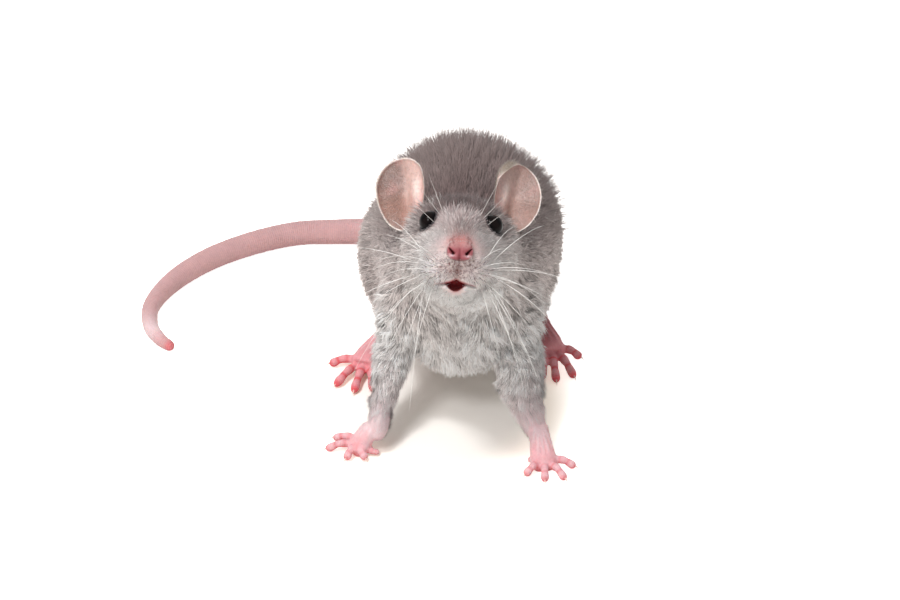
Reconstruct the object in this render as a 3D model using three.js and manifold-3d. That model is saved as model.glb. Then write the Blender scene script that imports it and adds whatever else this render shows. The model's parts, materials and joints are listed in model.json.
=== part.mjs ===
// Young dumbo-eared domestic rat, grey, standing on straight forelegs and looking up.
// Millimetres, +Z up. The animal faces -Y, and its own left side is +X.
// The outer surfaces are those of the coat. Every flesh part is a loft: rounded sections carried
// along a line, whose sizes run smoothly through a few named stations.
import * as THREE from "three";
import { mergeVertices } from "three/addons/utils/BufferGeometryUtils.js";
import Module from "manifold-3d";

const wasm = await Module();
wasm.setup();

// ---- Driving dimensions -------------------------------------------------------------------

const GAP = 0.3; // clearance between neighbouring parts
const SIDES = { left: 1, right: -1 }; // sign of X of each side of the animal

// The head has a frame of its own: x across, "along" towards the nose, "rise" towards the crown.
const HEAD = {
  centre: new THREE.Vector3(0, 0, 62),
  pitch: 30, // degrees that the muzzle points above level
  roll: 3.5, // degrees that the crown leans to the animal's right
};

// Sections of the head, from the nose back. level: height of the widest line; the rest are reaches from it.
const HEAD_STATIONS = [
  { name: "nose tip", along: 22.4, level: -3.3, half: 2.6, above: 2.2, below: 2.5, power: 2.2 },
  { name: "nose pad", along: 20.6, level: -3.5, half: 3.7, above: 3.3, below: 3.6, power: 2.3 },
  { name: "upper lip", along: 18.6, level: -4.8, half: 6.2, above: 5.5, below: 5.6, power: 2.2 },
  { name: "chin", along: 15.0, level: -5.6, half: 8.6, above: 8.4, below: 8.6, power: 2.2 },
  { name: "muzzle", along: 9.8, level: -5.9, half: 9.9, above: 11.6, below: 10.4, power: 2.1 },
  { name: "eyes", along: 3.4, level: -5.9, half: 12.0, above: 14.6, below: 11.4, power: 2.1 },
  { name: "cheeks", along: -3.8, level: -5.6, half: 14.3, above: 16.2, below: 13.0, power: 2.1 },
  { name: "ears", along: -11.0, level: -5.2, half: 15.6, above: 16.2, below: 15.4, power: 2.1 },
];

// Sections of the neck and trunk, from the head back. lean: degrees that the section's top leans back.
const TRUNK_STATIONS = [
  { name: "neck", x: 0.0, y: 11.8, z: 47.6, lean: 32, half: 17.6, above: 13.4, below: 21.0, power: 2.1 },
  { name: "shoulders", x: 0.2, y: 20.8, z: 41.6, lean: 25, half: 20.4, above: 15.0, below: 28.5, power: 2.2 },
  { name: "breast", x: 0.6, y: 31.0, z: 37.2, lean: 13, half: 22.0, above: 18.6, below: 28.4, power: 2.1 },
  { name: "ribs", x: 1.2, y: 43.0, z: 33.8, lean: 5, half: 24.6, above: 22.8, below: 25.6, power: 2.1 },
  { name: "loins", x: 2.4, y: 56.0, z: 32.2, lean: 2, half: 26.1, above: 25.0, below: 25.4, power: 2.0 },
  { name: "hips", x: 1.8, y: 68.5, z: 29.8, lean: 8, half: 24.0, above: 23.4, below: 23.6, power: 2.0 },
  { name: "rump", x: 0.8, y: 79.6, z: 25.6, lean: 20, half: 20.2, above: 19.8, below: 18.8, power: 2.1 },
  { name: "tail root", x: -0.8, y: 88.4, z: 20.4, lean: 34, half: 14.0, above: 14.6, below: 11.8, power: 2.0 },
  { name: "rump end", x: -2.6, y: 94.0, z: 16.4, lean: 40, half: 7.0, above: 7.2, below: 5.8, power: 2.0 },
];
const BODY_ROUNDING = { front: 0.03, rear: 0.035 }; // share of the loft over which each end closes

// Where the body is parted: mm along the head's frame, or the y of a trunk station's plane.
const CUTS = { nose: 20.6, headBack: -13.0, neckBack: 22.5, chestBack: 52.0 };

const MOUTH = { along: 16.2, rise: -11.6, half: 3.5, height: 1.4, depth: 5.6, slope: 10, jawBack: -4.5 };
const NOSTRIL = { half: 2.1, along: 21.9, rise: -3.7, size: [0.75, 1.4, 0.65] };
const EYE = { half: 8.5, along: 2.6, rise: 3.9, radius: 3.05, sink: 0.9 };

const EAR = {
  half: { left: 13.0, right: 14.2 }, // of the root, across: one ear is turned out more
  along: -9.8,
  rise: { left: 2.1, right: 1.3 }, // of the root: the ear on the lower side is held higher
  length: 18.8,
  width: 15.4,
  cup: 3.8, // how far the rim stands forward of the bowl
  thickness: 0.9,
  turnOut: 28, // degrees that the bowl faces away from straight ahead
  leanBack: 17,
  leanOut: 3,
};

// Each leg's line of joints, for the left side; x is mirrored for the right one. The left forearm
// stands nearer the middle and is broader at its top, where loose skin joins it to the chest.
const ARM = {
  upper: {
    path: [[11.0, 15.0, 44.0], [12.8, 13.4, 38.6], [14.2, 12.2, 32.4], [15.5, 11.2, 27.0], [16.3, 10.6, 22.6]],
    half: [6.0, 8.2, 8.0, 6.6, 5.2],
  },
  fore: {
    left: {
      path: [[15.4, 12.5, 27.5], [15.3, 9.5, 22.5], [15.9, 4.8, 16.4], [17.5, 0.8, 11.6], [19.3, -2.6, 7.6], [21.0, -5.6, 4.2]],
      half: [6.4, 6.8, 6.4, 4.8, 3.5, 2.7],
    },
    right: {
      path: [[16.0, 12.5, 27.5], [16.8, 9.5, 22.5], [18.6, 4.8, 16.4], [20.2, 0.8, 11.6], [21.0, -2.6, 7.6], [21.6, -5.6, 4.2]],
      half: [6.2, 6.0, 4.6, 3.6, 3.1, 2.6],
    },
  },
};
const LEG = {
  stride: { left: 0, right: -6 }, // how far the foot stands behind its place, along y
  turnIn: { left: 0, right: 4.2 }, // how far its heel stands nearer the middle
  ankle: 6.0, // height at which the leg is parted from the foot
  thigh: {
    path: [[12.0, 78.0, 25.0], [16.2, 71.0, 25.6], [18.8, 61.5, 25.0], [19.4, 51.5, 22.4], [18.8, 42.5, 18.6]],
    half: [6.6, 9.2, 9.6, 8.2, 5.2],
    flat: 1.6,
  },
  shank: {
    path: [[18.4, 45.5, 17.4], [19.2, 51.0, 13.5], [19.8, 58.0, 9.6], [19.8, 63.5, 6.4], [19.7, 66.5, 4.4]],
    half: [5.6, 5.8, 4.9, 3.8, 3.3],
  },
};

// A foot: the line of its sole from the wrist or heel to the knuckles, and where each toe ends.
// Toes are numbered from the inner side, as on a hand. Points are [x, y] on the floor, true to side.
const TOE = { radius: 1.15, tip: 0.95, knuckleRise: 1.2, claw: 1.2, clawRadius: 0.42 };
const FEET = {
  hand_left: {
    wrist: [20.0, -2.2, 7.8], knuckles: [21.9, -12.2], palm: { half: 3.5, high: 2.5 }, fan: 1.0,
    toes: [[18.1, -9.4], [16.8, -16.4], [21.9, -19.0], [27.2, -18.2], [30.0, -12.6]],
  },
  hand_right: {
    wrist: [-21.0, -2.6, 7.0], knuckles: [-27.2, -4.6], palm: { half: 3.5, high: 2.5 }, fan: 1.0,
    toes: [[-20.9, -6.4], [-24.4, -9.4], [-29.6, -9.6], [-35.0, -5.0], [-33.2, 0.2]],
  },
  foot_left: {
    wrist: [19.6, 66.0, 4.4], knuckles: [25.4, 40.6], palm: { half: 4.0, high: 3.0 }, fan: 1.15,
    toes: [[20.6, 35.4], [22.4, 28.6], [26.4, 27.2], [31.4, 29.4], [33.6, 39.4]],
  },
  foot_right: {
    wrist: [-15.4, 60.0, 4.4], knuckles: [-26.2, 34.4], palm: { half: 4.0, high: 3.0 }, fan: 1.15,
    toes: [[-21.4, 30.6], [-23.6, 23.0], [-28.8, 22.0], [-34.0, 25.0], [-36.0, 35.8]],
  },
};

// The tail's line, from inside the rump to the tip, and its radius there.
const TAIL = {
  path: [
    [0, 88, 16.0], [-9, 95.2, 12.0], [-21.5, 99.6, 7.0], [-36, 104.0, 4.1], [-49, 104.0, 3.4], [-62, 98.2, 3.3],
    [-74, 89.0, 3.15], [-83, 77.4, 2.85], [-88, 65.0, 2.3], [-87.4, 54.4, 1.95], [-84, 47.6, 1.65], [-80, 43.6, 1.25],
  ],
  radius: [5.6, 4.8, 4.1, 3.75, 3.6, 3.5, 3.35, 3.05, 2.5, 2.15, 1.85, 1.45],
  joints: [0.36, 0.68], // shares of its length at which it is parted
};

// ---- Shapes -------------------------------------------------------------------------------

// A smooth value through evenly spaced knots (Catmull-Rom), at t from 0 to 1.
function track(knots, t) {
  const last = knots.length - 1;
  const at = THREE.MathUtils.clamp(t, 0, 1) * last;
  const i = Math.min(Math.floor(at), last - 1);
  const f = at - i;
  const b = knots[i];
  const c = knots[i + 1];
  const a = i > 0 ? knots[i - 1] : 2 * b - c;
  const d = i + 2 <= last ? knots[i + 2] : 2 * c - b;
  return b + 0.5 * f * (c - a + f * (2 * a - 5 * b + 4 * c - d + f * (3 * (b - c) + d - a)));
}

// How wide a loft is at share t of its length, where each end closes as a quarter ellipse.
function rounding(t, front, rear) {
  const open = (x) => Math.sqrt(Math.max(0, 1 - (1 - Math.min(x, 1)) ** 2));
  return open(t / front) * open((1 - t) / rear);
}

// A closed surface: pointAt(t, angle, target) over a sphere's grid, with t from one pole to the other.
function wrap(rings, around, pointAt, crowd = 0.3) {
  const geometry = new THREE.SphereGeometry(1, around, rings);
  const position = geometry.getAttribute("position");
  const point = new THREE.Vector3();
  for (let ring = 0; ring <= rings; ring++) {
    const even = ring / rings;
    const t = even - (crowd * Math.sin(2 * Math.PI * even)) / (2 * Math.PI); // closer rings at the ends
    for (let step = 0; step <= around; step++) {
      const angle = (2 * Math.PI * (step % around)) / around + Math.PI;
      pointAt(t, angle, point);
      position.setXYZ(ring * (around + 1) + step, point.x, point.y, point.z);
    }
  }
  return geometry;
}

// A section's outline: a circle squared a little by power, with its own reach up, down and sideways.
function sectionPoint(section, angle, grow, width, target) {
  const c = Math.cos(angle);
  const s = Math.sin(angle);
  const across = Math.sign(c) * Math.abs(c) ** (2 / section.power) * (section.half * width + grow);
  const reach = s > 0 ? section.above : section.below;
  const up = Math.sign(s) * Math.abs(s) ** (2 / section.power) * (reach * width + grow);
  return target
    .copy(section.centre)
    .addScaledVector(section.side, across)
    .addScaledVector(section.up, up);
}

// A round limb, toe or tail along a line of joints, with a radius at each joint. The top of each
// section faces the way that "top" points.
const TOP = new THREE.Vector3(0, 0, 1);
const FRONT = new THREE.Vector3(0, -1, 0);
function tube({ path, half, rings, around, ends = [0.12, 0.12], flat = 1, top = TOP }, grow = 0) {
  const line = new THREE.CatmullRomCurve3(path.map((p) => new THREE.Vector3(...p)), false, "catmullrom");
  const section = { centre: new THREE.Vector3(), side: new THREE.Vector3(), up: new THREE.Vector3(), power: 2 };
  const heading = new THREE.Vector3();
  return wrap(rings, around, (t, angle, target) => {
    line.getPoint(t, section.centre);
    line.getTangent(t, heading);
    section.side.crossVectors(heading, top).normalize();
    section.up.crossVectors(section.side, heading);
    section.half = track(half, t);
    section.above = section.half * flat;
    section.below = section.half * flat;
    const width = rounding(t, ends[0], ends[1]);
    sectionPoint(section, angle, grow * Math.min(1, width * 2), width, target);
    if (width === 0 && grow) target.addScaledVector(heading, t < 0.5 ? -grow : grow);
  });
}

// ---- Solids -------------------------------------------------------------------------------

// A closed geometry, its doubled vertices merged, as a solid that can be cut and joined.
function solid(geometry, matrix) {
  const bare = geometry.clone();
  bare.deleteAttribute("normal");
  bare.deleteAttribute("uv");
  if (matrix) bare.applyMatrix4(matrix);
  const merged = mergeVertices(bare, 1e-4);
  const index = merged.index.array;
  const kept = [];
  for (let i = 0; i < index.length; i += 3) {
    const [a, b, c] = [index[i], index[i + 1], index[i + 2]];
    if (a !== b && b !== c && c !== a) kept.push(a, b, c);
  }
  return new wasm.Manifold(
    new wasm.Mesh({
      numProp: 3,
      vertProperties: Float32Array.from(merged.getAttribute("position").array),
      triVerts: Uint32Array.from(kept),
    }),
  );
}

const joined = (solids) => solids.reduce((sum, s) => sum.add(s));
const largest = (s) => s.decompose().reduce((best, b) => (b.volume() > best.volume() ? b : best));
// The part of a solid that lies on the far side of a plane, the way its normal points.
const beyond = (s, normal, point, shift = 0) =>
  s.trimByPlane(normal.toArray(), normal.dot(point) + shift);

// ---- The head's frame ---------------------------------------------------------------------

const pitch = THREE.MathUtils.degToRad(HEAD.pitch);
const roll = THREE.MathUtils.degToRad(HEAD.roll);
const FORWARD = new THREE.Vector3(0, -Math.cos(pitch), Math.sin(pitch));
const rolled = (v) => v.clone().applyAxisAngle(FORWARD, -roll);
const ACROSS = rolled(new THREE.Vector3(1, 0, 0));
const CROWN = rolled(new THREE.Vector3(0, Math.sin(pitch), Math.cos(pitch)));

function onHead(x, along, rise) {
  return HEAD.centre
    .clone()
    .addScaledVector(ACROSS, x)
    .addScaledVector(FORWARD, along)
    .addScaledVector(CROWN, rise);
}

// Places a geometry made at the origin (x across, y back, z up) on the head.
function headMatrix(x, along, rise) {
  const matrix = new THREE.Matrix4().makeBasis(ACROSS, FORWARD.clone().negate(), CROWN);
  return matrix.setPosition(onHead(x, along, rise));
}

// ---- Body: one loft from the nose to the rump, then parted ----------------------------------

const BODY = [
  ...HEAD_STATIONS.map((s) => {
    const centre = onHead(0, s.along, s.level);
    return { ...s, x: centre.x, y: centre.y, z: centre.z, lean: HEAD.pitch, roll: HEAD.roll };
  }),
  ...TRUNK_STATIONS.map((s, i) => ({ ...s, roll: HEAD.roll * Math.max(0, 1 - i) * 0.6 })),
];
const bodyTrack = (key, t) => track(BODY.map((s) => s[key]), t);

function bodySection(t) {
  const lean = THREE.MathUtils.degToRad(bodyTrack("lean", t));
  const turn = THREE.MathUtils.degToRad(bodyTrack("roll", t));
  const back = new THREE.Vector3(0, Math.cos(lean), -Math.sin(lean));
  return {
    centre: new THREE.Vector3(bodyTrack("x", t), bodyTrack("y", t), bodyTrack("z", t)),
    side: new THREE.Vector3(1, 0, 0).applyAxisAngle(back, turn),
    up: new THREE.Vector3(0, Math.sin(lean), Math.cos(lean)).applyAxisAngle(back, turn),
    back,
    half: bodyTrack("half", t),
    above: bodyTrack("above", t),
    below: bodyTrack("below", t),
    power: bodyTrack("power", t),
  };
}

function bodyLoft(grow = 0) {
  return wrap(40, 22, (t, angle, target) => {
    const section = bodySection(t);
    const width = rounding(t, BODY_ROUNDING.front, BODY_ROUNDING.rear);
    sectionPoint(section, angle, grow * Math.min(1, width * 2), width, target);
    if (width === 0) target.addScaledVector(section.back, t < 0.5 ? -grow : grow);
  }, 0.6);
}

const whole = solid(bodyLoft());
const wholeGrown = solid(bodyLoft(GAP));

// The plane square to the body's line nearest to a given y of its centre, as point and normal.
function planeAtY(y) {
  let t = 0.3;
  while (bodyTrack("y", t) < y) t += 0.001;
  const section = bodySection(t);
  return { point: section.centre, normal: section.back };
}

// ---- Eyes, nostrils and mouth ---------------------------------------------------------------

function eyeGeometry(grow) {
  return new THREE.SphereGeometry(EYE.radius + grow, 10, 8);
}

function eye(side, grow = 0) {
  const inward = EYE.sink;
  return solid(eyeGeometry(grow), headMatrix(SIDES[side] * (EYE.half - inward), EYE.along, EYE.rise - inward / 2));
}

const nostrils = Object.values(SIDES).map((sign) => {
  const bead = new THREE.SphereGeometry(1, 7, 5);
  bead.scale(...NOSTRIL.size);
  bead.rotateY(sign * 0.5);
  return solid(bead, headMatrix(sign * NOSTRIL.half, NOSTRIL.along, NOSTRIL.rise));
});

const mouthGeometry = new THREE.SphereGeometry(1, 12, 7);
mouthGeometry.scale(MOUTH.half, MOUTH.depth, MOUTH.height);
const mouth = solid(mouthGeometry, headMatrix(0, MOUTH.along, MOUTH.rise));

// ---- Ears: a cupped leaf, thin at the rim, closed over a sphere's grid ------------------------

function ear(side, grow = 0) {
  const sign = SIDES[side];
  const turn = THREE.MathUtils.degToRad(EAR.turnOut);
  const lean = THREE.MathUtils.degToRad(EAR.leanBack);
  const tilt = THREE.MathUtils.degToRad(EAR.leanOut);
  const face = new THREE.Vector3(sign * Math.sin(turn), Math.cos(turn), 0);
  const stem = new THREE.Vector3(sign * Math.sin(tilt), -Math.sin(lean), Math.cos(lean)).normalize();
  const outward = new THREE.Vector3().crossVectors(face, stem).multiplyScalar(sign).normalize();
  face.crossVectors(stem, outward).multiplyScalar(sign).normalize();
  const rings = 8;
  const around = 18;
  const geometry = new THREE.SphereGeometry(1, around, rings);
  const position = geometry.getAttribute("position");
  for (let ring = 0; ring <= rings; ring++) {
    const polar = (Math.PI * ring) / rings;
    const reach = Math.sin(polar); // 0 in the bowl and behind it, 1 on the rim
    for (let step = 0; step <= around; step++) {
      const angle = (2 * Math.PI * (step % around)) / around;
      const c = Math.cos(angle);
      const s = Math.sin(angle);
      const taper = 1 - 0.3 * Math.max(0, -s) ** 1.5; // narrower towards the root
      const across = reach * c * (EAR.width / 2 + grow) * taper;
      const up = EAR.length * 0.5 + reach * s * (EAR.length * 0.52 + grow);
      const bowl = EAR.cup * (0.9 * reach ** 2 * (0.35 + 0.65 * c * c) - 0.35 - 0.3 * Math.max(0, -s) * reach);
      const wall = (EAR.thickness / 2 + grow) * Math.cos(polar) * (0.65 + 0.35 * Math.abs(Math.cos(polar)));
      const x = outward.x * across + stem.x * up + face.x * (bowl + wall);
      const along = outward.y * across + stem.y * up + face.y * (bowl + wall);
      const rise = outward.z * across + stem.z * up + face.z * (bowl + wall);
      const place = onHead(sign * EAR.half[side] + x, EAR.along + along, EAR.rise[side] + rise);
      position.setXYZ(ring * (around + 1) + step, place.x, place.y, place.z);
    }
  }
  const made = solid(geometry);
  return made.volume() > 0 ? made : solid(flipped(geometry));
}

function flipped(geometry) {
  const turned = geometry.clone();
  const index = turned.index.array;
  for (let i = 0; i < index.length; i += 3) [index[i + 1], index[i + 2]] = [index[i + 2], index[i + 1]];
  return turned;
}

// ---- Feet: a sole, toes with bent knuckles, and claws grown from the toes ---------------------

function foot(spec, name) {
  const hind = name.startsWith("foot");
  const [wx, wy, wz] = spec.wrist;
  const [kx, ky] = spec.knuckles;
  const { half, high } = spec.palm;
  const heading = new THREE.Vector2(kx - wx, ky - wy).normalize();
  const square = new THREE.Vector2(-heading.y, heading.x); // to the foot's right, seen from above
  const inner = Math.sign(kx) * (square.x > 0 ? 1 : -1) < 0 ? 1 : -1; // sign of square that points inwards
  const mid = [(wx + kx) / 2, (wy + ky) / 2, hind ? high * 0.95 : (wz + high) / 2 + 0.4];
  const pieces = [
    solid(
      tube({
        path: [[wx, wy, wz], mid, [kx - heading.x, ky - heading.y, high * 0.85], [kx + heading.x * 1.6, ky + heading.y * 1.6, high * 0.7]],
        half: hind ? [half * 0.78, half * 0.8, half, half * 0.85] : [half * 0.8, half * 0.82, half, half * 0.85],
        rings: 7,
        around: 8,
        flat: 0.78,
        ends: [0.12, 0.2],
      }),
    ),
  ];
  spec.toes.forEach(([tx, ty], i) => {
    const thumb = i === 0 && !hind;
    const spread = ((2 - i) / 2) * half * 0.72 * spec.fan * inner;
    const back = thumb || i === 0 ? 2.6 : i === 4 ? 1.6 : 0;
    const root = [kx + square.x * spread - heading.x * back, ky + square.y * spread - heading.y * back];
    const knuckle = [(root[0] + tx) / 2, (root[1] + ty) / 2, TOE.radius + (thumb ? 0.2 : TOE.knuckleRise)];
    const point = new THREE.Vector2(tx - root[0], ty - root[1]).normalize();
    const radius = TOE.radius * (hind ? 1.12 : 1) * (thumb ? 0.8 : 1);
    pieces.push(
      solid(
        tube({
          path: [[root[0], root[1], high * 0.62], knuckle, [tx, ty, TOE.tip]],
          half: [radius, radius * 0.95, radius * 0.92],
          rings: 5,
          around: 5,
          ends: [0.15, 0.18],
        }),
      ),
    );
    if (thumb) return; // the thumb is a stub with a flat nail
    const claw = new THREE.ConeGeometry(TOE.clawRadius, TOE.claw + 1, 5);
    claw.translate(0, (TOE.claw + 1) / 2 - 1, 0);
    const turn = new THREE.Quaternion().setFromUnitVectors(
      new THREE.Vector3(0, 1, 0),
      new THREE.Vector3(point.x, point.y, -0.22).normalize(),
    );
    const at = new THREE.Vector3(tx - point.x * 0.2, ty - point.y * 0.2, TOE.tip + 0.25);
    pieces.push(solid(claw, new THREE.Matrix4().compose(at, turn, new THREE.Vector3(1, 1, 1))));
  });
  return joined(pieces);
}

// ---- Legs and tail --------------------------------------------------------------------------

function limb({ path, half, flat }, side, { grow = 0, top = TOP, stride = [0, 0], turnIn = 0 } = {}) {
  const share = (i) => i / (path.length - 1);
  const step = (i) => THREE.MathUtils.lerp(stride[0], stride[1], share(i));
  const placed = path.map(([x, y, z], i) => [(x - turnIn * share(i)) * SIDES[side], y + step(i), z]);
  return solid(tube({ path: placed, half, flat, rings: 9, around: 12, ends: [0.2, 0.2], top }, grow));
}

const tailShape = { path: TAIL.path, half: TAIL.radius, rings: 32, around: 8, ends: [0.03, 0.025] };
const tailLine = new THREE.CatmullRomCurve3(TAIL.path.map((p) => new THREE.Vector3(...p)), false, "catmullrom");

function tailPart(from, to) {
  const cutAt = (t) => ({ point: tailLine.getPoint(t), normal: tailLine.getTangent(t) });
  let part = solid(tube(tailShape));
  if (from > 0) {
    const { point, normal } = cutAt(from);
    part = beyond(part, normal, point, GAP / 2);
  }
  if (to < 1) {
    const { point, normal } = cutAt(to);
    part = beyond(part, normal.negate(), point, GAP / 2);
  }
  return largest(part);
}

// ---- Assembly -------------------------------------------------------------------------------

const COATS = {
  coat: new THREE.MeshStandardMaterial({ color: 0x968e90, roughness: 0.95, metalness: 0 }),
  pale_coat: new THREE.MeshStandardMaterial({ color: 0xc4bdb9, roughness: 0.95, metalness: 0 }),
  skin: new THREE.MeshStandardMaterial({ color: 0xe39a9e, roughness: 0.6, metalness: 0 }),
  tail_skin: new THREE.MeshStandardMaterial({ color: 0xb98483, roughness: 0.7, metalness: 0 }),
  ear_skin: new THREE.MeshStandardMaterial({ color: 0xc9a498, roughness: 0.7, metalness: 0 }),
  eye: new THREE.MeshStandardMaterial({ color: 0x0a0809, roughness: 0.08, metalness: 0 }),
};

const FLOOR_UP = new THREE.Vector3(0, 0, 1);
const ORIGIN = new THREE.Vector3();
const onFloor = (s) => beyond(s, FLOOR_UP, ORIGIN); // trims what would sink below the floor to a flat

const parts = new Map();
const put = (name, made, coat) => parts.set(name, { made: largest(onFloor(made)), coat });

const back = FORWARD.clone().negate();
const neckBack = planeAtY(CUTS.neckBack);
const chestBack = planeAtY(CUTS.chestBack);
const eyeHoles = joined(Object.keys(SIDES).map((side) => eye(side, GAP)));

const noseFace = beyond(whole, FORWARD, onHead(0, CUTS.nose, 0), GAP / 2);
put("nose", nostrils.reduce((s, n) => s.subtract(n), noseFace), "skin");

// The jaw lies under a plane that runs back from the mouth, and in front of one below the cheek.
const slope = THREE.MathUtils.degToRad(MOUTH.slope);
const jawDown = CROWN.clone().multiplyScalar(-Math.cos(slope)).addScaledVector(FORWARD, -Math.sin(slope));
const jawTop = onHead(0, MOUTH.along, MOUTH.rise);
const jawBack = onHead(0, MOUTH.jawBack, 0);
const skull = beyond(beyond(whole, back, onHead(0, CUTS.nose, 0), GAP / 2), FORWARD, onHead(0, CUTS.headBack, 0), GAP / 2);
const jawBlock = beyond(beyond(skull, jawDown, jawTop), FORWARD, jawBack);
const jawBlockGrown = beyond(beyond(wholeGrown, jawDown, jawTop, -GAP), FORWARD, jawBack, -GAP);
put("jaw", jawBlock.subtract(mouth), "pale_coat");
put("head", skull.subtract(jawBlockGrown).subtract(mouth).subtract(eyeHoles), "coat");
put("neck", beyond(beyond(whole, back, onHead(0, CUTS.headBack, 0), GAP / 2), neckBack.normal.clone().negate(), neckBack.point, GAP / 2), "coat");
put("chest", beyond(beyond(whole, neckBack.normal, neckBack.point, GAP / 2), chestBack.normal.clone().negate(), chestBack.point, GAP / 2), "coat");

const tailRootCut = solid(tube(tailShape, GAP));
put("loins", beyond(whole, chestBack.normal, chestBack.point, GAP / 2).subtract(tailRootCut), "coat");

for (const side of Object.keys(SIDES)) {
  put(`eye_${side}`, eye(side), "eye");
  put(`ear_${side}`, ear(side).subtract(wholeGrown), "ear_skin");

  // The arm: the forearm and hand are one, parted at the wrist.
  const upperArm = limb(ARM.upper, side, { top: FRONT });
  const upperArmGrown = limb(ARM.upper, side, { top: FRONT, grow: GAP });
  const foreArm = joined([limb(ARM.fore[side], side, { top: FRONT }), foot(FEET[`hand_${side}`], "hand")]);
  const [wristAt, aboveWrist] = [4, 3].map((i) => new THREE.Vector3(...ARM.fore[side].path[i]));
  const down = wristAt.clone().sub(aboveWrist).normalize();
  for (const v of [wristAt, down]) v.x *= SIDES[side];
  put(`upper_arm_${side}`, upperArm.subtract(wholeGrown), "coat");
  const bareForeArm = foreArm.subtract(wholeGrown).subtract(upperArmGrown);
  put(`forearm_${side}`, beyond(bareForeArm, down.clone().negate(), wristAt, GAP / 2), "pale_coat");
  put(`hand_${side}`, beyond(foreArm, down, wristAt, GAP / 2), "skin");

  // The hind leg: the shank and foot are one, parted level with the ankle.
  const stride = LEG.stride[side];
  const thigh = limb(LEG.thigh, side, { stride: [0, stride / 2] });
  const thighGrown = limb(LEG.thigh, side, { stride: [0, stride / 2], grow: GAP });
  const shank = joined([limb(LEG.shank, side, { stride: [stride / 2, stride], turnIn: LEG.turnIn[side] }), foot(FEET[`foot_${side}`], "foot")]);
  const ankle = new THREE.Vector3(0, 0, LEG.ankle);
  put(`thigh_${side}`, thigh.subtract(wholeGrown), "coat");
  const bareShank = shank.subtract(wholeGrown).subtract(thighGrown);
  put(`shank_${side}`, beyond(bareShank, FLOOR_UP, ankle, GAP / 2), "coat");
  put(`foot_${side}`, beyond(bareShank, FLOOR_UP.clone().negate(), ankle, GAP / 2), "skin");
}

const [firstJoint, secondJoint] = TAIL.joints;
put("tail_base", tailPart(0, firstJoint), "tail_skin");
put("tail_middle", tailPart(firstJoint, secondJoint), "tail_skin");
put("tail_end", tailPart(secondJoint, 1), "tail_skin");

// The group's origin is under the middle of its box, on the floor.
const rat = new THREE.Group();
const box = new THREE.Box3();
for (const [name, { made, coat }] of parts) {
  const { numProp, vertProperties, triVerts } = made.getMesh();
  if (numProp !== 3) throw new Error(`${name} has extra vertex data`);
  const geometry = new THREE.BufferGeometry();
  geometry.setAttribute("position", new THREE.BufferAttribute(vertProperties, 3));
  geometry.setIndex(new THREE.BufferAttribute(triVerts, 1));
  geometry.computeVertexNormals();
  const mesh = new THREE.Mesh(geometry, COATS[coat]);
  mesh.name = name;
  rat.add(mesh);
  box.expandByObject(mesh);
}
const middle = box.getCenter(new THREE.Vector3());
rat.position.set(-middle.x, -middle.y, -box.min.z);

export default rat;
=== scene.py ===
# %% [markdown]
# # A young rat, looking up
#
# This notebook dresses the plain solids of a young dumbo-eared rat as a museum model. The solids
# give the outline out to the tips of the fur. Here one skin lies inside them by the depth of the
# coat, and a coat of many small tufts grows out from it. All shapes are worked out in millimetres
# in the animal's own frame, where it faces -Y and its left side is +X, and are moved to the frame
# of the solids at the end.

# %% The frame
import json
import bmesh
import bpy
import numpy as np
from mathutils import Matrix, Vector

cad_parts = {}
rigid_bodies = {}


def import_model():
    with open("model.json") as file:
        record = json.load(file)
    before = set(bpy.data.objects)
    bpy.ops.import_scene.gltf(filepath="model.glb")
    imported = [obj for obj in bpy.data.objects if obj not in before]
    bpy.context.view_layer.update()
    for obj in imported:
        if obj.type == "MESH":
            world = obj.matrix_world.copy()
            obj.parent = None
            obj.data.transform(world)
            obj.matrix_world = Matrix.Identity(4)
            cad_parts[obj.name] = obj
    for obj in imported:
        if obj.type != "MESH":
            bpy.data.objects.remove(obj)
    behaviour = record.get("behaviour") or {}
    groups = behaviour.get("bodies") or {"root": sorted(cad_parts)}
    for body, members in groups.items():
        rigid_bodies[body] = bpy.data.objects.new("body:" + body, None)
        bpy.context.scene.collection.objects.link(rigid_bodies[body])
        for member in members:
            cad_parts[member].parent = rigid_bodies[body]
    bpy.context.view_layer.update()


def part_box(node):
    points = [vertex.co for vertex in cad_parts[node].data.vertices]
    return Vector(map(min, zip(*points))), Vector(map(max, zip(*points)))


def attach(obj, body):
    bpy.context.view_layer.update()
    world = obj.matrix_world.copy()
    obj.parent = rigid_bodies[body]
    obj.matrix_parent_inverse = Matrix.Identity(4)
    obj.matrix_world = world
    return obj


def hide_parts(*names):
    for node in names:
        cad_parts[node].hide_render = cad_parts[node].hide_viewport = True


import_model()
MM = 0.001
rng = np.random.default_rng(11)

# %% [markdown]
# ## Lines and sections
#
# A body, a leg and a tail are all lofts: a closed outline carried along a line, whose size changes
# smoothly from one station to the next. The same few formulas draw them all. Working on whole
# arrays keeps this short, since every point of a surface is worked out at once.

# %% Smooth tables and small helpers
def track(knots, t):
    """Values at t in 0..1 through evenly spaced rows of knots: a Catmull-Rom spline, where each
    span is the cubic that leaves and arrives with half the step between its outer neighbours."""
    knots = np.atleast_2d(np.asarray(knots, float).T).T
    at = np.clip(t, 0, 1) * (len(knots) - 1)
    i = np.minimum(at.astype(int), len(knots) - 2)
    f = (at - i)[..., None]
    padded = np.vstack([2 * knots[0] - knots[1], knots, 2 * knots[-1] - knots[-2]])
    a, b, c, d = (padded[i + k] for k in range(4))
    return b + 0.5 * f * (c - a + f * (2 * a - 5 * b + 4 * c - d + f * (3 * (b - c) + d - a)))


def unit(v):
    """Each vector divided by its length."""
    return v / np.maximum(np.linalg.norm(v, axis=-1, keepdims=True), 1e-9)


def step(low, high, x):
    """0 below low, 1 above high, and 3x^2 - 2x^3 between them, so that both ends are smooth."""
    x = np.clip((x - low) / (high - low), 0, 1)
    return x * x * (3 - 2 * x)


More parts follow.
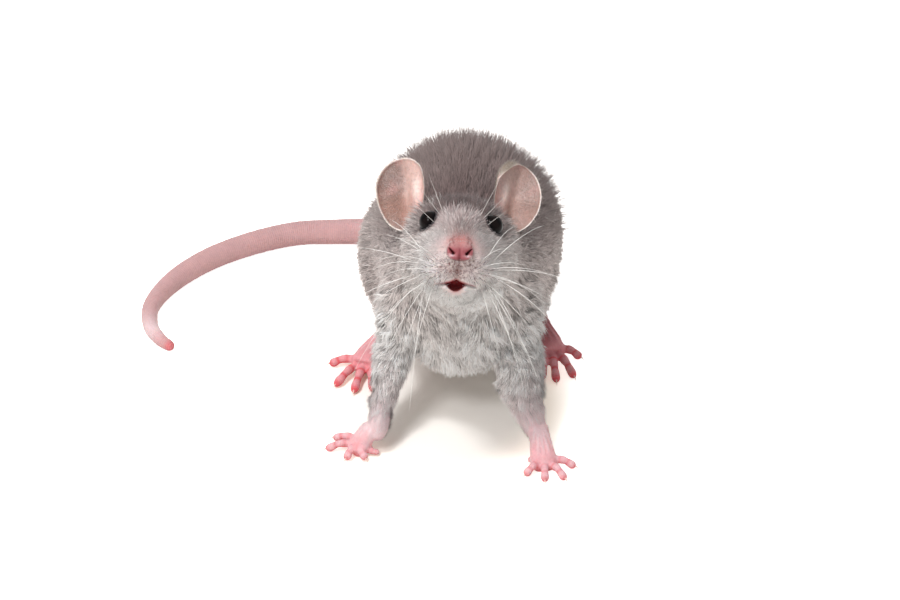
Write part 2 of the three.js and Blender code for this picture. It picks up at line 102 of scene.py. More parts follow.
def ripple(points, size, seed):
    """A soft random field in about -1..1, and its slope: the mean of nine sine waves, of about that
    size in mm, that run in random directions through space. The slope is the waves' cosines times
    their directions, scaled so that it is about 1 long at its steepest."""
    local = np.random.default_rng(seed)
    waves = unit(local.normal(size=(9, 3))) * (2 * np.pi / (size * local.uniform(0.7, 1.6, (9, 1))))
    phase = points @ waves.T + local.uniform(0, 2 * np.pi, 9)
    return np.sin(phase).mean(axis=1) * 1.6, np.cos(phase) @ waves * (1.6 / 9) * size / (2 * np.pi)


def shut(t, front, rear):
    """How wide a loft is at t: 1 along it, closing to 0 at both ends as quarter ellipses."""
    near = np.clip(t / front, 0, 1)
    far = np.clip((1 - t) / rear, 0, 1)
    return np.sqrt(1 - (1 - near) ** 2) * np.sqrt(1 - (1 - far) ** 2)


# %% [markdown]
# ## Sizes of the animal
#
# The head and the trunk are one loft from the nose to the rump, and these are its stations. They
# repeat the sizes of the solids. The last column is new: how deep the coat is there, which is how
# far the skin lies inside.

# %% Head and trunk
HEAD_CENTRE, PITCH, ROLL = np.array([0.0, 0.0, 62.0]), np.radians(30.0), np.radians(3.5)
FORWARD = np.array([0, -np.cos(PITCH), np.sin(PITCH)])


def roll_head(v):
    """v turned by the head's lean to the right, about the line that its muzzle points along."""
    return v * np.cos(ROLL) - np.cross(FORWARD, v) * np.sin(ROLL)


ACROSS = roll_head(np.array([1.0, 0, 0]))
CROWN = roll_head(np.array([0, np.sin(PITCH), np.cos(PITCH)]))


def on_head(x, along, rise):
    """The point x across the head, along it towards the nose, and at rise above its line."""
    x, along, rise = (np.asarray(k, float)[..., None] for k in (x, along, rise))
    return HEAD_CENTRE + x * ACROSS + along * FORWARD + rise * CROWN


# name, along the head, level, half width, reach above, reach below, squareness, coat
HEAD_STATIONS = [
    ("nose tip", 22.4, -3.3, 2.6, 2.2, 2.5, 2.2, 0.0),
    ("nose pad", 20.6, -3.5, 3.7, 3.3, 3.6, 2.3, 0.0),
    ("upper lip", 18.6, -4.8, 6.2, 5.5, 5.6, 2.2, 0.2),
    ("chin", 15.0, -5.6, 8.6, 8.4, 8.6, 2.2, 0.4),
    ("muzzle", 9.8, -5.9, 9.9, 11.6, 10.4, 2.1, 0.55),
    ("eyes", 3.4, -5.9, 12.0, 14.6, 11.4, 2.1, 0.8),
    ("cheeks", -3.8, -5.6, 14.3, 16.2, 13.0, 2.1, 1.3),
    ("ears", -11.0, -5.2, 15.6, 16.2, 15.4, 2.1, 1.9),
]
# name, x, y, z, lean of the section in degrees, half width, reach above, reach below, squareness, coat
TRUNK_STATIONS = [
    ("neck", 0.0, 11.8, 47.6, 32, 17.6, 13.4, 21.0, 2.1, 2.4),
    ("shoulders", 0.2, 20.8, 41.6, 25, 20.4, 15.0, 28.5, 2.2, 2.5),
    ("breast", 0.6, 31.0, 37.2, 13, 22.0, 18.6, 28.4, 2.1, 2.5),
    ("ribs", 1.2, 43.0, 33.8, 5, 24.6, 22.8, 25.6, 2.1, 2.6),
    ("loins", 2.4, 56.0, 32.2, 2, 26.1, 25.0, 25.4, 2.0, 2.8),
    ("hips", 1.8, 68.5, 29.8, 8, 24.0, 23.4, 23.6, 2.0, 2.8),
    ("rump", 0.8, 79.6, 25.6, 20, 20.2, 19.8, 18.8, 2.1, 2.5),
    ("tail root", -0.8, 88.4, 20.4, 34, 14.0, 14.6, 11.8, 2.0, 2.0),
    ("rump end", -2.6, 94.0, 16.4, 40, 7.0, 7.2, 5.8, 2.0, 1.4),
]
head_rows = [
    [*on_head(0, s[1], s[2]), np.degrees(PITCH), np.degrees(ROLL), *s[3:]] for s in HEAD_STATIONS
]
trunk_rows = [
    [*s[1:5], 0.6 * np.degrees(ROLL) * (i == 0), *s[5:]] for i, s in enumerate(TRUNK_STATIONS)
]
BODY = np.array(head_rows + trunk_rows)  # x, y, z, lean, roll, half, above, below, power, coat
BODY_ENDS = (0.03, 0.035)  # the part of its length over which the body closes, at nose and rump
AT = {s[0]: i / (len(BODY) - 1) for i, s in enumerate(HEAD_STATIONS + TRUNK_STATIONS)}


def body_section(t):
    """The body's section at t: its centre, its three directions and its sizes."""
    row = track(BODY, t)
    lean, turn = np.radians(row[..., 3:4]), np.radians(row[..., 4:5])
    zero = np.zeros_like(lean)
    back = np.concatenate([zero, np.cos(lean), -np.sin(lean)], -1)
    side = np.concatenate([zero + 1, zero, zero], -1)
    top = np.concatenate([zero, np.sin(lean), np.cos(lean)], -1)
    side, top = (v * np.cos(turn) + np.cross(back, v) * np.sin(turn) for v in (side, top))
    return row[..., :3], side, top, back, row[..., 5:]


def body_surface(t, angle, inset=1.0):
    """A point of the body: its section's centre, plus the section's reach to the side times the
    cosine of the angle and its reach up or down times the sine, each raised to 2 / squareness.
    Inset 0 gives the tips of the coat and 1 the skin."""
    centre, side, top, back, size = body_section(t)
    half, above, below, power, coat = np.moveaxis(size, -1, 0)
    width = shut(t, *BODY_ENDS)
    c, s = np.cos(angle), np.sin(angle)
    across = np.sign(c) * np.abs(c) ** (2 / power) * (half - inset * coat) * width
    reach = np.where(s > 0, above, below) - inset * coat
    up = np.sign(s) * np.abs(s) ** (2 / power) * reach * width
    tuck = inset * coat * (1 - width) * (t > 0.5)
    return centre + across[..., None] * side + up[..., None] * top - tuck[..., None] * back


print("stations from nose to rump:", len(BODY))

# %% [markdown]
# ## Legs, feet and tail
#
# A leg is a line of joints with a radius at each of them, and so is a tail. Left and right share
# one table where the pose allows it: the right hind foot is set 6 mm ahead of the left one, with its
# heel turned in, while each forearm has a line of its own. A toe is the same thing made small, so
# all twenty toes come from the places where their tips stand on the floor.

# %% Legs, feet and tail
DOWN_FRONT = np.array([0.0, -1.0, 0.0])
LEVEL = np.array([0.0, 0.0, 1.0])
SIDES = {"left": 1.0, "right": -1.0}
STRIDE = {"left": 0.0, "right": -6.0}  # how far each hind foot stands from its place, along y
TURN_IN = {"left": 0.0, "right": 4.2}  # how far its heel stands nearer the middle
LIMB_ENDS = (0.2, 0.2)  # the part of its length over which a limb closes, at either end

# Each limb: its line of joints on the left side, its radii, how much taller than wide it is, coat
UPPER_ARM = dict(
    path=[[11.0, 15.0, 44.0], [12.8, 13.4, 38.6], [14.2, 12.2, 32.4], [15.5, 11.2, 27.0], [16.3, 10.6, 22.6]],
    radius=[6.0, 8.2, 8.0, 6.6, 5.2], coat=[2.2, 2.0, 1.9, 1.6, 1.4], top=DOWN_FRONT,
)
FOREARM_COAT = dict(coat=[1.5, 1.4, 1.1, 0.8, 0.4, 0.05], top=DOWN_FRONT)
# The left one stands nearer the middle and is broader at its top, where loose skin joins it to
# the chest.
FOREARM = {
    "left": dict(
        path=[[15.4, 12.5, 27.5], [15.3, 9.5, 22.5], [15.9, 4.8, 16.4],
              [17.5, 0.8, 11.6], [19.3, -2.6, 7.6], [21.0, -5.6, 4.2]],
        radius=[6.4, 6.8, 6.4, 4.8, 3.5, 2.7], **FOREARM_COAT,
    ),
    "right": dict(
        path=[[16.0, 12.5, 27.5], [16.8, 9.5, 22.5], [18.6, 4.8, 16.4],
              [20.2, 0.8, 11.6], [21.0, -2.6, 7.6], [21.6, -5.6, 4.2]],
        radius=[6.2, 6.0, 4.6, 3.6, 3.1, 2.6], **FOREARM_COAT,
    ),
}
THIGH = dict(
    path=[[12.0, 78.0, 25.0], [16.2, 71.0, 25.6], [18.8, 61.5, 25.0], [19.4, 51.5, 22.4], [18.8, 42.5, 18.6]],
    radius=[6.6, 9.2, 9.6, 8.2, 5.2], flat=1.6, coat=[2.4, 2.4, 2.3, 2.1, 1.8],
)
SHANK = dict(
    path=[[18.4, 45.5, 17.4], [19.2, 51.0, 13.5], [19.8, 58.0, 9.6], [19.8, 63.5, 6.4], [19.7, 66.5, 4.4]],
    radius=[5.6, 5.8, 4.9, 3.8, 3.3], coat=[1.8, 1.6, 1.2, 0.7, 0.2],
)
TAIL = dict(
    path=[
        [0, 88, 16.0], [-9, 95.2, 12.0], [-21.5, 99.6, 7.0], [-36, 104.0, 4.1],
        [-49, 104.0, 3.4], [-62, 98.2, 3.3], [-74, 89.0, 3.15], [-83, 77.4, 2.85],
        [-88, 65.0, 2.3], [-87.4, 54.4, 1.95], [-84, 47.6, 1.65], [-80, 43.6, 1.25],
    ],
    radius=[5.6, 4.8, 4.1, 3.75, 3.6, 3.5, 3.35, 3.05, 2.5, 2.15, 1.85, 1.45], ends=(0.03, 0.025),
)
# Each foot: the wrist or heel, the knuckles on the floor, half width and height of the sole, how
# far the toes fan, and where each toe ends on the floor, counted from the inner side.
FEET = {
    "hand_left": ([20.0, -2.2, 7.8], [21.9, -12.2], 3.5, 2.5, 1.0,
                  [[18.1, -9.4], [16.8, -16.4], [21.9, -19.0], [27.2, -18.2], [30.0, -12.6]]),
    "hand_right": ([-21.0, -2.6, 7.0], [-27.2, -4.6], 3.5, 2.5, 1.0,
                   [[-20.9, -6.4], [-24.4, -9.4], [-29.6, -9.6], [-35.0, -5.0], [-33.2, 0.2]]),
    "foot_left": ([19.6, 66.0, 4.4], [25.4, 40.6], 4.0, 3.0, 1.15,
                  [[20.6, 35.4], [22.4, 28.6], [26.4, 27.2], [31.4, 29.4], [33.6, 39.4]]),
    "foot_right": ([-15.4, 60.0, 4.4], [-26.2, 34.4], 4.0, 3.0, 1.15,
                   [[-21.4, 30.6], [-23.6, 23.0], [-28.8, 22.0], [-34.0, 25.0], [-36.0, 35.8]]),
}
TOE_RADIUS, TOE_TIP, KNUCKLE_RISE = 1.15, 0.95, 1.2  # radius, height of the tip, lift of the joint
TOE_SWELL = [1, 0.88, 0.98, 0.8, 0.98, 0.95]  # how its radius changes, from its root to its pad


def sided(limb, side, stride=(0.0, 0.0), turn_in=0.0):
    """A limb's table for one side: x is mirrored, and y moves by a stride that grows along it, as
    x does by how far its far end turns in."""
    path = np.array(limb["path"], float)
    path[:, 0] -= np.linspace(0, turn_in, len(path))
    path[:, 0] *= SIDES[side]
    path[:, 1] += np.linspace(*stride, len(path))
    return {**limb, "path": path}


def limb_frame(limb, t):
    """The line's point at t, the way it heads, and its side and top directions there."""
    top_way = limb.get("top", LEVEL)
    centre = track(limb["path"], t)
    heading = unit(track(limb["path"], t + 1e-3) - track(limb["path"], t - 1e-3))
    side = unit(np.cross(heading, top_way))
    return centre, heading, side, np.cross(side, heading)


def limb_surface(limb, t, angle, inset=1.0):
    """A point of a limb: its line's point plus its radius, less the coat, round the line."""
    centre, heading, side, top = limb_frame(limb, t)
    radius = track(limb["radius"], t)[..., 0]
    coat = track(limb.get("coat", [0, 0]), t)[..., 0] * inset
    front, rear = limb.get("ends", LIMB_ENDS)
    reach = (radius - coat) * shut(t, front, rear)
    tall = reach * limb.get("flat", 1.0)
    return centre + (reach * np.cos(angle))[..., None] * side + (tall * np.sin(angle))[..., None] * top


def foot_limbs(name):
    """The sole and the five toes of a foot, each as a limb. A toe bends up at its knuckle, swells a
    little over its joint, and ends in a round pad."""
    wrist, knuckles, half, high, fan, tips = FEET[name]
    hind = name.startswith("foot")
    knuckles = np.array(knuckles)
    heading = unit(knuckles - np.array(wrist[:2]))
    square = np.array([-heading[1], heading[0]])
    inner = 1.0 if np.sign(knuckles[0]) * np.sign(square[0]) < 0 else -1.0
    middle = [*(knuckles + wrist[:2]) / 2, high * 0.95 if hind else (wrist[2] + high) / 2 + 0.4]
    path = [wrist, middle, [*knuckles - heading, high * 0.85], [*knuckles + heading * 1.6, high * 0.7]]
    widths = [0.78, 0.8, 1.0, 0.85] if hind else [0.8, 0.82, 1.0, 0.85]
    sole = dict(path=path, radius=[half * w for w in widths], flat=0.78, ends=(0.12, 0.2))
    toes = []
    for i, tip in enumerate(tips):
        thumb = i == 0 and not hind
        spread = (2 - i) / 2 * half * 0.72 * fan * inner
        root = knuckles + square * spread - heading * (2.6 if i == 0 else 1.6 if i == 4 else 0)
        bend = [*(root + tip) / 2, TOE_RADIUS + (0.2 if thumb else KNUCKLE_RISE)]
        r = TOE_RADIUS * (1.12 if hind else 1) * (0.8 if thumb else 1)
        toes.append(dict(
            path=[[*root, high * 0.62], bend, [*tip, TOE_TIP]],
            radius=[r * swell for swell in TOE_SWELL], ends=(0.15, 0.3 if thumb else 0.16),
        ))
    return sole, toes


LIMBS = {}
for side in SIDES:
    LIMBS[f"upper_arm_{side}"] = sided(UPPER_ARM, side)
    LIMBS[f"forearm_{side}"] = sided(FOREARM[side], side)
    LIMBS[f"thigh_{side}"] = sided(THIGH, side, (0, STRIDE[side] / 2))
    LIMBS[f"shank_{side}"] = sided(SHANK, side, (STRIDE[side] / 2, STRIDE[side]), TURN_IN[side])
LIMBS["tail"] = TAIL
FOOT_LIMBS = {name: foot_limbs(name) for name in FEET}
print("limbs:", len(LIMBS), "toes:", sum(len(toes) for _, toes in FOOT_LIMBS.values()))

# %% [markdown]
# ## From the animal's frame to the solids' frame
#
# The solids were moved so that their box stands centred on the origin. The eyes are small round
# solids with a known place on the head, so the middle between them tells by how much.

# %% Placing meshes
EYE = dict(half=8.5, along=2.6, rise=3.9, sink=0.9)
eye_boxes = np.array([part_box("eye_left"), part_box("eye_right")])
SHIFT = eye_boxes.mean(axis=(0, 1)) / MM - on_head(0, EYE["along"], EYE["rise"] - EYE["sink"] / 2)
print("solids were moved by", SHIFT.round(2), "mm")


def grid_faces(rings, around):
    """Corner numbers of the faces of a closed grid: rings of points between two single poles. The
    poles are points 0 and 1, and ring r starts at 2 + r * around."""
    r, a = np.meshgrid(np.arange(rings - 1), np.arange(around), indexing="ij")
    first = 2 + r * around
    after = (a + 1) % around
    quads = np.stack([first + a, first + around + a, first + around + after, first + after], -1)
    a = np.arange(around)
    after = (a + 1) % around
    start = np.stack([a * 0, 2 + a, 2 + after], -1)
    last = 2 + (rings - 1) * around
    end = np.stack([a * 0 + 1, last + after, last + a], -1)
    return quads.reshape(-1, 4), np.vstack([start, end])


def loft(surface, rings, around, span=(0.0, 1.0)):
    """Points and faces of a closed loft. surface(t, angle) is taken on a grid over t in span, with
    t slowed towards both ends, and the first and last rings shrink to their middle points."""
    even = np.linspace(0, 1, rings + 2)[1:-1]
    t = span[0] + (span[1] - span[0]) * (even - 0.6 * np.sin(2 * np.pi * even) / (2 * np.pi))
    angle = np.linspace(0, 2 * np.pi, around, endpoint=False)
    points = surface(np.repeat(t, around), np.tile(angle, rings))
    ends = surface(np.repeat(np.array(span, float), around), np.tile(angle, 2)).reshape(2, around, 3)
    points = np.vstack([ends.mean(axis=1), points])
    quads, tris = grid_faces(rings, around)
    return points, quads, tris


def new_object(name, data):
    """A new object that shows this mesh, lamp or camera, linked into the scene."""
    made = bpy.data.objects.new(name, data)
    bpy.context.scene.collection.objects.link(made)
    return made


def mesh_object(name, parts):
    """One mesh object from a list of (points, quads, triangles), in metres."""
    points, faces, sizes, start = [], [], [], 0
    for p, quads, tris in parts:
        points.append(p)
        for f in (quads, tris):
            faces.append((f + start).ravel())
            sizes.append(np.full(len(f), f.shape[1] if len(f) else 3))
        start += len(p)
    points = (np.vstack(points) + SHIFT) * MM
    loops, sizes = np.concatenate(faces).astype(np.int32), np.concatenate(sizes).astype(np.int32)
    mesh = bpy.data.meshes.new(name)
    mesh.vertices.add(len(points))
    mesh.vertices.foreach_set("co", points.astype(np.float32).ravel())
    mesh.loops.add(len(loops))
    mesh.loops.foreach_set("vertex_index", loops)
    mesh.polygons.add(len(sizes))
    mesh.polygons.foreach_set("loop_start", np.concatenate([[0], np.cumsum(sizes)[:-1]]).astype(np.int32))
    mesh.update(calc_edges=True)
    mesh.shade_smooth()
    return new_object(name, mesh)


def settle(made):
    """Puts an object's modifiers into its mesh, so that it is plain geometry again."""
    graph = bpy.context.evaluated_depsgraph_get()
    mesh = bpy.data.meshes.new_from_object(made.evaluated_get(graph), depsgraph=graph)
    made.modifiers.clear()
    old, made.data = made.data, mesh
    bpy.data.meshes.remove(old)
    mesh.shade_smooth()
    return made


def points_of(mesh):
    """A mesh's points as an array in the animal's frame, in mm."""
    flat = np.empty(len(mesh.vertices) * 3, np.float32)
    mesh.vertices.foreach_get("co", flat)
    return flat.reshape(-1, 3).astype(float) / MM - SHIFT


def move_points(mesh, points):
    """Sets a mesh's points from an array in the animal's frame, in mm."""
    mesh.vertices.foreach_set("co", ((points + SHIFT) * MM).astype(np.float32).ravel())
    mesh.update()


# %% [markdown]
# ## The skin
#
# A real skin flows over shoulders and haunches with no crease. Joining lofts leaves a sharp line
# wherever two of them cross. One way round that is to sculpt by hand, and another is a remesh,
# which lays a fresh even mesh over the outside of whatever is in it. The skin uses it twice. The
# trunk with its shoulders and haunches gets a coarse one that is smoothed hard, because thick fur
# covers it.

# %% The trunk, blended
TRUNK_FROM = AT["ears"]
trunk_parts = [loft(body_surface, 56, 60, (TRUNK_FROM, 1.0))]
for side in SIDES:
    for limb in ("upper_arm", "thigh"):
        shape = LIMBS[f"{limb}_{side}"]
        trunk_parts.append(loft(lambda t, a, shape=shape: limb_surface(shape, t, a), 24, 32))
trunk = mesh_object("trunk", trunk_parts)
coarse = trunk.modifiers.new("coarse", "REMESH")
coarse.mode, coarse.voxel_size = "VOXEL", 1.1 * MM
soften = trunk.modifiers.new("soften", "SMOOTH")
soften.factor, soften.iterations = 0.5, 16
settle(trunk)
print("blended trunk:", len(trunk.data.polygons), "faces")

# %% [markdown]
# ## One skin
#
# Head, forearms, hands, feet and tail are lofts that reach well into the trunk. A second remesh
# wraps all of it at a third of a millimetre, fine enough for toes, and is smoothed only a little.

# %% All of the skin in one mesh
fine_parts = [loft(body_surface, 110, 96, (0.0, AT["shoulders"]))]
for side in SIDES:
    for limb in ("forearm", "shank"):
        shape = LIMBS[f"{limb}_{side}"]
        fine_parts.append(loft(lambda t, a, shape=shape: limb_surface(shape, t, a), 40, 36))
for sole, toes in FOOT_LIMBS.values():
    fine_parts.append(loft(lambda t, a: limb_surface(sole, t, a), 30, 32))
    fine_parts += [loft(lambda t, a, toe=toe: limb_surface(toe, t, a), 22, 16) for toe in toes]
fine_parts.append(loft(lambda t, a: limb_surface(TAIL, t, a), 180, 28))
skin = mesh_object("skin", fine_parts)
for o in bpy.context.scene.objects:
    o.select_set(o in (skin, trunk))
bpy.context.view_layer.objects.active = skin
bpy.ops.object.join()
fine = skin.modifiers.new("fine", "REMESH")
fine.mode, fine.voxel_size = "VOXEL", 0.34 * MM
soften = skin.modifiers.new("soften", "SMOOTH")
soften.factor, soften.iterations = 0.5, 5
settle(skin)
print("skin before thinning:", len(skin.data.polygons), "faces")

# %% [markdown]
# ## Where a point lies on the animal
#
# Colour, length of fur and the way that it lies all depend on where on the body a point is. Each
# point is set against every loft: how far along its line it is, at which angle round it, and how
# far from its surface. The loft whose surface is nearest owns the point, and near a border the
# neighbours share it, so nothing changes there with a jump.

# %% Places
ALL_LIMBS = dict(LIMBS)
for name, (sole, toes) in FOOT_LIMBS.items():
    ALL_LIMBS[name] = sole
    ALL_LIMBS.update({f"{name}_toe_{i}": toe for i, toe in enumerate(toes)})
REGIONS = ["body", *ALL_LIMBS]
COUNTS = {"body": 160, "tail": 160}


def section(name, t):
    """A region's section at t: centre, side, top, heading, half width, reaches, coat and closing."""
    if name == "body":
        centre, side, top, back, size = body_section(t)
        half, above, below, _, coat = np.moveaxis(size, -1, 0)
        return centre, side, top, back, half, above, below, coat, shut(t, *BODY_ENDS)
    limb = ALL_LIMBS[name]
    centre, heading, side, top = limb_frame(limb, t)
    radius = track(limb["radius"], t)[..., 0]
    tall = radius * limb.get("flat", 1.0)
    coat = track(limb.get("coat", [0, 0]), t)[..., 0]
    width = shut(t, *limb.get("ends", LIMB_ENDS))
    return centre, side, top, heading, radius, tall, tall, coat, width


def place_on(name, points):
    """Where points lie on a region: t of the nearest place of its line, moved on by the point's own
    reach along the line there, the angle round it, and the distance out from its skin in mm."""
    grid = np.linspace(0, 1, COUNTS.get(name, 40))
    centre, _, _, heading, *_ = section(name, grid)
    nearest = np.argmin((centre**2).sum(1) - 2 * points @ centre.T, axis=1)
    speed = np.linalg.norm(np.gradient(centre, grid, axis=0), axis=1)
    along = ((points - centre[nearest]) * heading[nearest]).sum(1)
    t = np.clip(grid[nearest] + along / speed[nearest], 0, 1)
    centre, side, top, heading, half, above, below, coat, width = section(name, t)
    x, y = ((points - centre) * side).sum(1), ((points - centre) * top).sum(1)
    width = np.maximum(width, 0.35)
    half = (half - coat) * width
    reach = (np.where(y > 0, above, below) - coat) * width
    past = np.abs(((points - centre) * heading).sum(1))
    out = (np.hypot(x / half, y / reach) - 1) * (half + reach) / 2 + past
    return t, np.arctan2(y / reach, x / half), out


def owners(points):
    """For each point: the region that owns it, and every region's t, angle and distance."""
    places = {name: place_on(name, points) for name in REGIONS}
    out = np.stack([places[name][2] for name in REGIONS], 1)
    return np.argmin(out, axis=1), places, out


def head_place(points):
    """Points in the head's own directions: across, along towards the nose, and rise."""
    away = points - HEAD_CENTRE
    return away @ ACROSS, away @ FORWARD, away @ CROWN


def bump_at(place, centre, size):
    """A round hill of height 1 at a centre: e to the minus half of the squared distance from it,
    with each direction measured in its own size."""
    return np.exp(-0.5 * sum(((a - c) / s) ** 2 for a, c, s in zip(place, centre, size)))


def normals_of(mesh):
    """A mesh's smooth normals at its points."""
    flat = np.empty(len(mesh.vertices) * 3, np.float32)
    mesh.vertex_normals.foreach_get("vector", flat)
    return flat.reshape(-1, 3).astype(float)


print("regions:", len(REGIONS))

# %% [markdown]
# ## Modelling the face
#
# The loft gives the head's mass. A face is what rises and sinks on it: whisker pads, the groove
# under the nose, nostrils, lips, lids and brows. Each is a small hill or hollow at its own place
# on the head, added along the surface's normal as a sculptor's brush would. Hollows with sharp
# walls, such as the mouth and the nostrils, are pushed straight back instead. The muzzle's faces
# are cut in four first, because small forms need fine faces.

# %% Finer faces on the muzzle
def refine(made, chosen):
    """Cuts in four each face whose points are all chosen, and halves the sides of its neighbours."""
    edit = bmesh.new()
    edit.from_mesh(made.data)
    edit.verts.ensure_lookup_table()
    edges = [e for e in edit.edges if chosen[e.verts[0].index] and chosen[e.verts[1].index]]
    bmesh.ops.subdivide_edges(edit, edges=edges, cuts=1, use_grid_fill=True)
    bmesh.ops.triangulate(edit, faces=[f for f in edit.faces if len(f.verts) > 4])
    edit.to_mesh(made.data)
    edit.free()
    made.data.update()


_, along, _ = head_place(points_of(skin.data))
refine(skin, along > 12.5)
print("skin with a finer muzzle:", len(skin.data.polygons), "faces")

# %% [markdown]
# ## Forms of the face and the feet
#
# Each form is a formula of the place on the head. That of the nose, the mouth or a nostril serves
# twice, first to move the skin and then to colour it, so the colour lies where the form is. The
# backs of the hands and feet get their tendons here too, and faint folds of loose skin.

# %% Face and feet
# Sizes in mm, across the head and up it.
MOUTH = dict(middle=-0.4, top=-10.15, slope=0.38, bottom=-12.8, curve=0.3, half=2.3, corner=4.9, depth=3.4)
NOSTRIL = dict(hole=(1.55, -3.75), outer=(2.5, -2.6), depth=1.9)
NOSE_PAD = dict(middle=0.2, rise=-3.2, half=3.15, above=2.4, below=2.2)
EYE_RADIUS = 2.85
EYE_AXIS = {side: unit(sign * 0.70 * ACROSS + 0.52 * FORWARD + 0.49 * CROWN) for side, sign in SIDES.items()}
EYE_CENTRE = {
    side: on_head(sign * (EYE["half"] - EYE["sink"]), EYE["along"], EYE["rise"] - EYE["sink"] / 2)
    for side, sign in SIDES.items()
}


def mouth_gap(x, along, rise, margin=0.0):
    """1 inside the open mouth and 0 outside it. Its upper edge falls straight from the groove of
    the lip to both sides, and its lower edge is a parabola that rises to meet it. A margin makes
    it that much larger all round."""
    aside = np.abs(x - MOUTH["middle"])
    top = MOUTH["top"] - MOUTH["slope"] * aside + margin
    bottom = MOUTH["bottom"] + MOUTH["curve"] * aside**2 - margin
    return step(-0.15, 0.22, top - rise) * step(-0.15, 0.22, rise - bottom) * (along > 8)


def lip_line(x, along, rise):
    """1 along the closed lips, which run on from the gap's corners and droop a little."""
    aside = np.abs(x - MOUTH["middle"])
    line = MOUTH["top"] - 0.95 - 0.16 * (aside - MOUTH["half"])
    ends = step(MOUTH["half"] - 0.8, MOUTH["half"], aside)
    ends *= step(MOUTH["corner"] + 0.6, MOUTH["corner"] - 0.6, aside)
    return np.exp(-(((rise - line) / 0.36) ** 2)) * ends * (along > 8)


def nose_pad(x, along, rise):
    """1 on the bare pad of the nose: inside a squarish oval, with a soft edge."""
    tall = np.where(rise > NOSE_PAD["rise"], NOSE_PAD["above"], NOSE_PAD["below"])
    aside = np.abs(x - NOSE_PAD["middle"]) / NOSE_PAD["half"]
    reach = (aside**2.4 + np.abs((rise - NOSE_PAD["rise"]) / tall) ** 2.4) ** (1 / 2.4)
    return step(1.1, 0.92, reach) * (along > 17)


def nostril_depth(x, along, rise):
    """How deep the nostril is: a slit between its round hole and its narrow outer end. The distance
    to that line sets how far inside a place is."""
    hole, outer = np.array(NOSTRIL["hole"]), np.array(NOSTRIL["outer"])
    place = np.stack([np.abs(x - NOSE_PAD["middle"]), rise], -1)
    f = np.clip((place - hole) @ (outer - hole) / ((outer - hole) ** 2).sum(), 0, 1)
    gap = np.linalg.norm(place - hole - f[:, None] * (outer - hole), axis=1)
    width = 0.31 - 0.21 * f
    return step(width + 0.13, width - 0.13, gap) * NOSTRIL["depth"] * (1 - 0.5 * f) * (along > 17)


def eye_ring(points, side):
    """How far points lie from an eye's axis, and how far along it, from the eye's middle."""
    ball = points - EYE_CENTRE[side]
    depth = ball @ EYE_AXIS[side]
    return np.linalg.norm(ball - depth[:, None] * EYE_AXIS[side], axis=1), depth


def face_relief(points):
    """How far each point moves out along its normal, and how far straight back into the head."""
    place = x, along, rise = head_place(points)
    mirror = (np.abs(x), along, rise)
    nose_x = x - NOSE_PAD["middle"]
    nose = (np.abs(nose_x), along, rise)
    out = 1.15 * bump_at(mirror, (4.3, 17.0, -8.2), (2.4, 3.2, 2.3))  # whisker pads
    out += 0.4 * bump_at(mirror, (7.4, 12.0, -8.5), (2.6, 3.5, 3.0))  # their rear
    out -= 0.7 * bump_at((x, rise), (0, -8.4), (0.5, 1.6)) * (along > 14)  # groove under the nose
    out += 0.5 * bump_at(place, (-0.4, 15.5, -14.5), (3.0, 2.6, 0.8))  # lower lip
    out -= 1.25 * bump_at(mirror, (6.4, 9.0, 1.8), (2.3, 4.2, 2.4))  # hollow before the eye
    out += 0.6 * bump_at(mirror, (6.2, 3.0, 7.6), (2.4, 3.0, 1.6))  # brow
    out += 0.5 * bump_at(mirror, (11.6, 2.0, -3.5), (3.0, 4.5, 3.5))  # cheek
    pad = nose_pad(x, along, rise)
    out += 0.3 * pad * step(0.6, -1.6, rise)  # the pad stands proud below
    edge = np.exp(-(((pad - 0.35) / 0.3) ** 2)) * (pad > 0.02)
    out -= 0.35 * edge * step(-2.0, -4.5, rise)  # its lower edge
    out += 0.35 * bump_at(nose, (1.9, 21.5, -4.8), (1.1, 2.0, 0.45))  # lower rim of the nostril
    out += 0.25 * bump_at(nose, (1.5, 21.8, -2.0), (0.9, 1.6, 0.9))  # its roof
    out -= 0.5 * bump_at((nose_x, rise), (0, -4.8), (0.2, 1.5)) * (along > 18)  # split of the nose
    out -= 0.16 * bump_at((x, rise), (0, 0.2), (0.5, 2.2)) * (along > 14)  # faint line up the bridge
    out += 0.08 * pad * ripple(points, 0.8, 61)[0]  # the nose's fine cobbles
    for side in SIDES:
        ring, depth = eye_ring(points, side)
        facing = step(-0.5, 1.0, depth)
        out += 0.38 * np.exp(-(((ring - 3.0) / 0.62) ** 2)) * facing  # lids
        out -= 1.25 * step(2.6, 2.05, ring) * facing  # socket
    back = MOUTH["depth"] * mouth_gap(x, along, rise) + 1.0 * lip_line(x, along, rise)
    return out, back + nostril_depth(x, along, rise)


def tendons(points, normals):
    """1 on the low ridges of the backs of hands and feet, from the wrist to the root of each toe:
    e to the minus squared distance from the line between the two, seen from above."""
    ridge = np.zeros(len(points))
    low = np.flatnonzero((points[:, 2] < 9) & (normals[:, 2] > 0.1))
    place = points[low, :2]
    for name, (_, toes) in FOOT_LIMBS.items():
        wrist = np.array(FEET[name][0][:2])
        for toe in toes:
            root, joint = (np.array(knot[:2]) for knot in toe["path"][:2])
            way = root + 0.15 * (joint - root) - wrist
            f = np.clip((place - wrist) @ way / (way @ way), 0, 1)
            gap = np.linalg.norm(place - wrist - f[:, None] * way, axis=1)
            line = np.exp(-((gap / 0.42) ** 2)) * step(0.2, 0.55, f) * step(1.0, 0.85, f)
            ridge[low] = np.maximum(ridge[low], line * step(0.1, 0.6, normals[low, 2]))
    return ridge


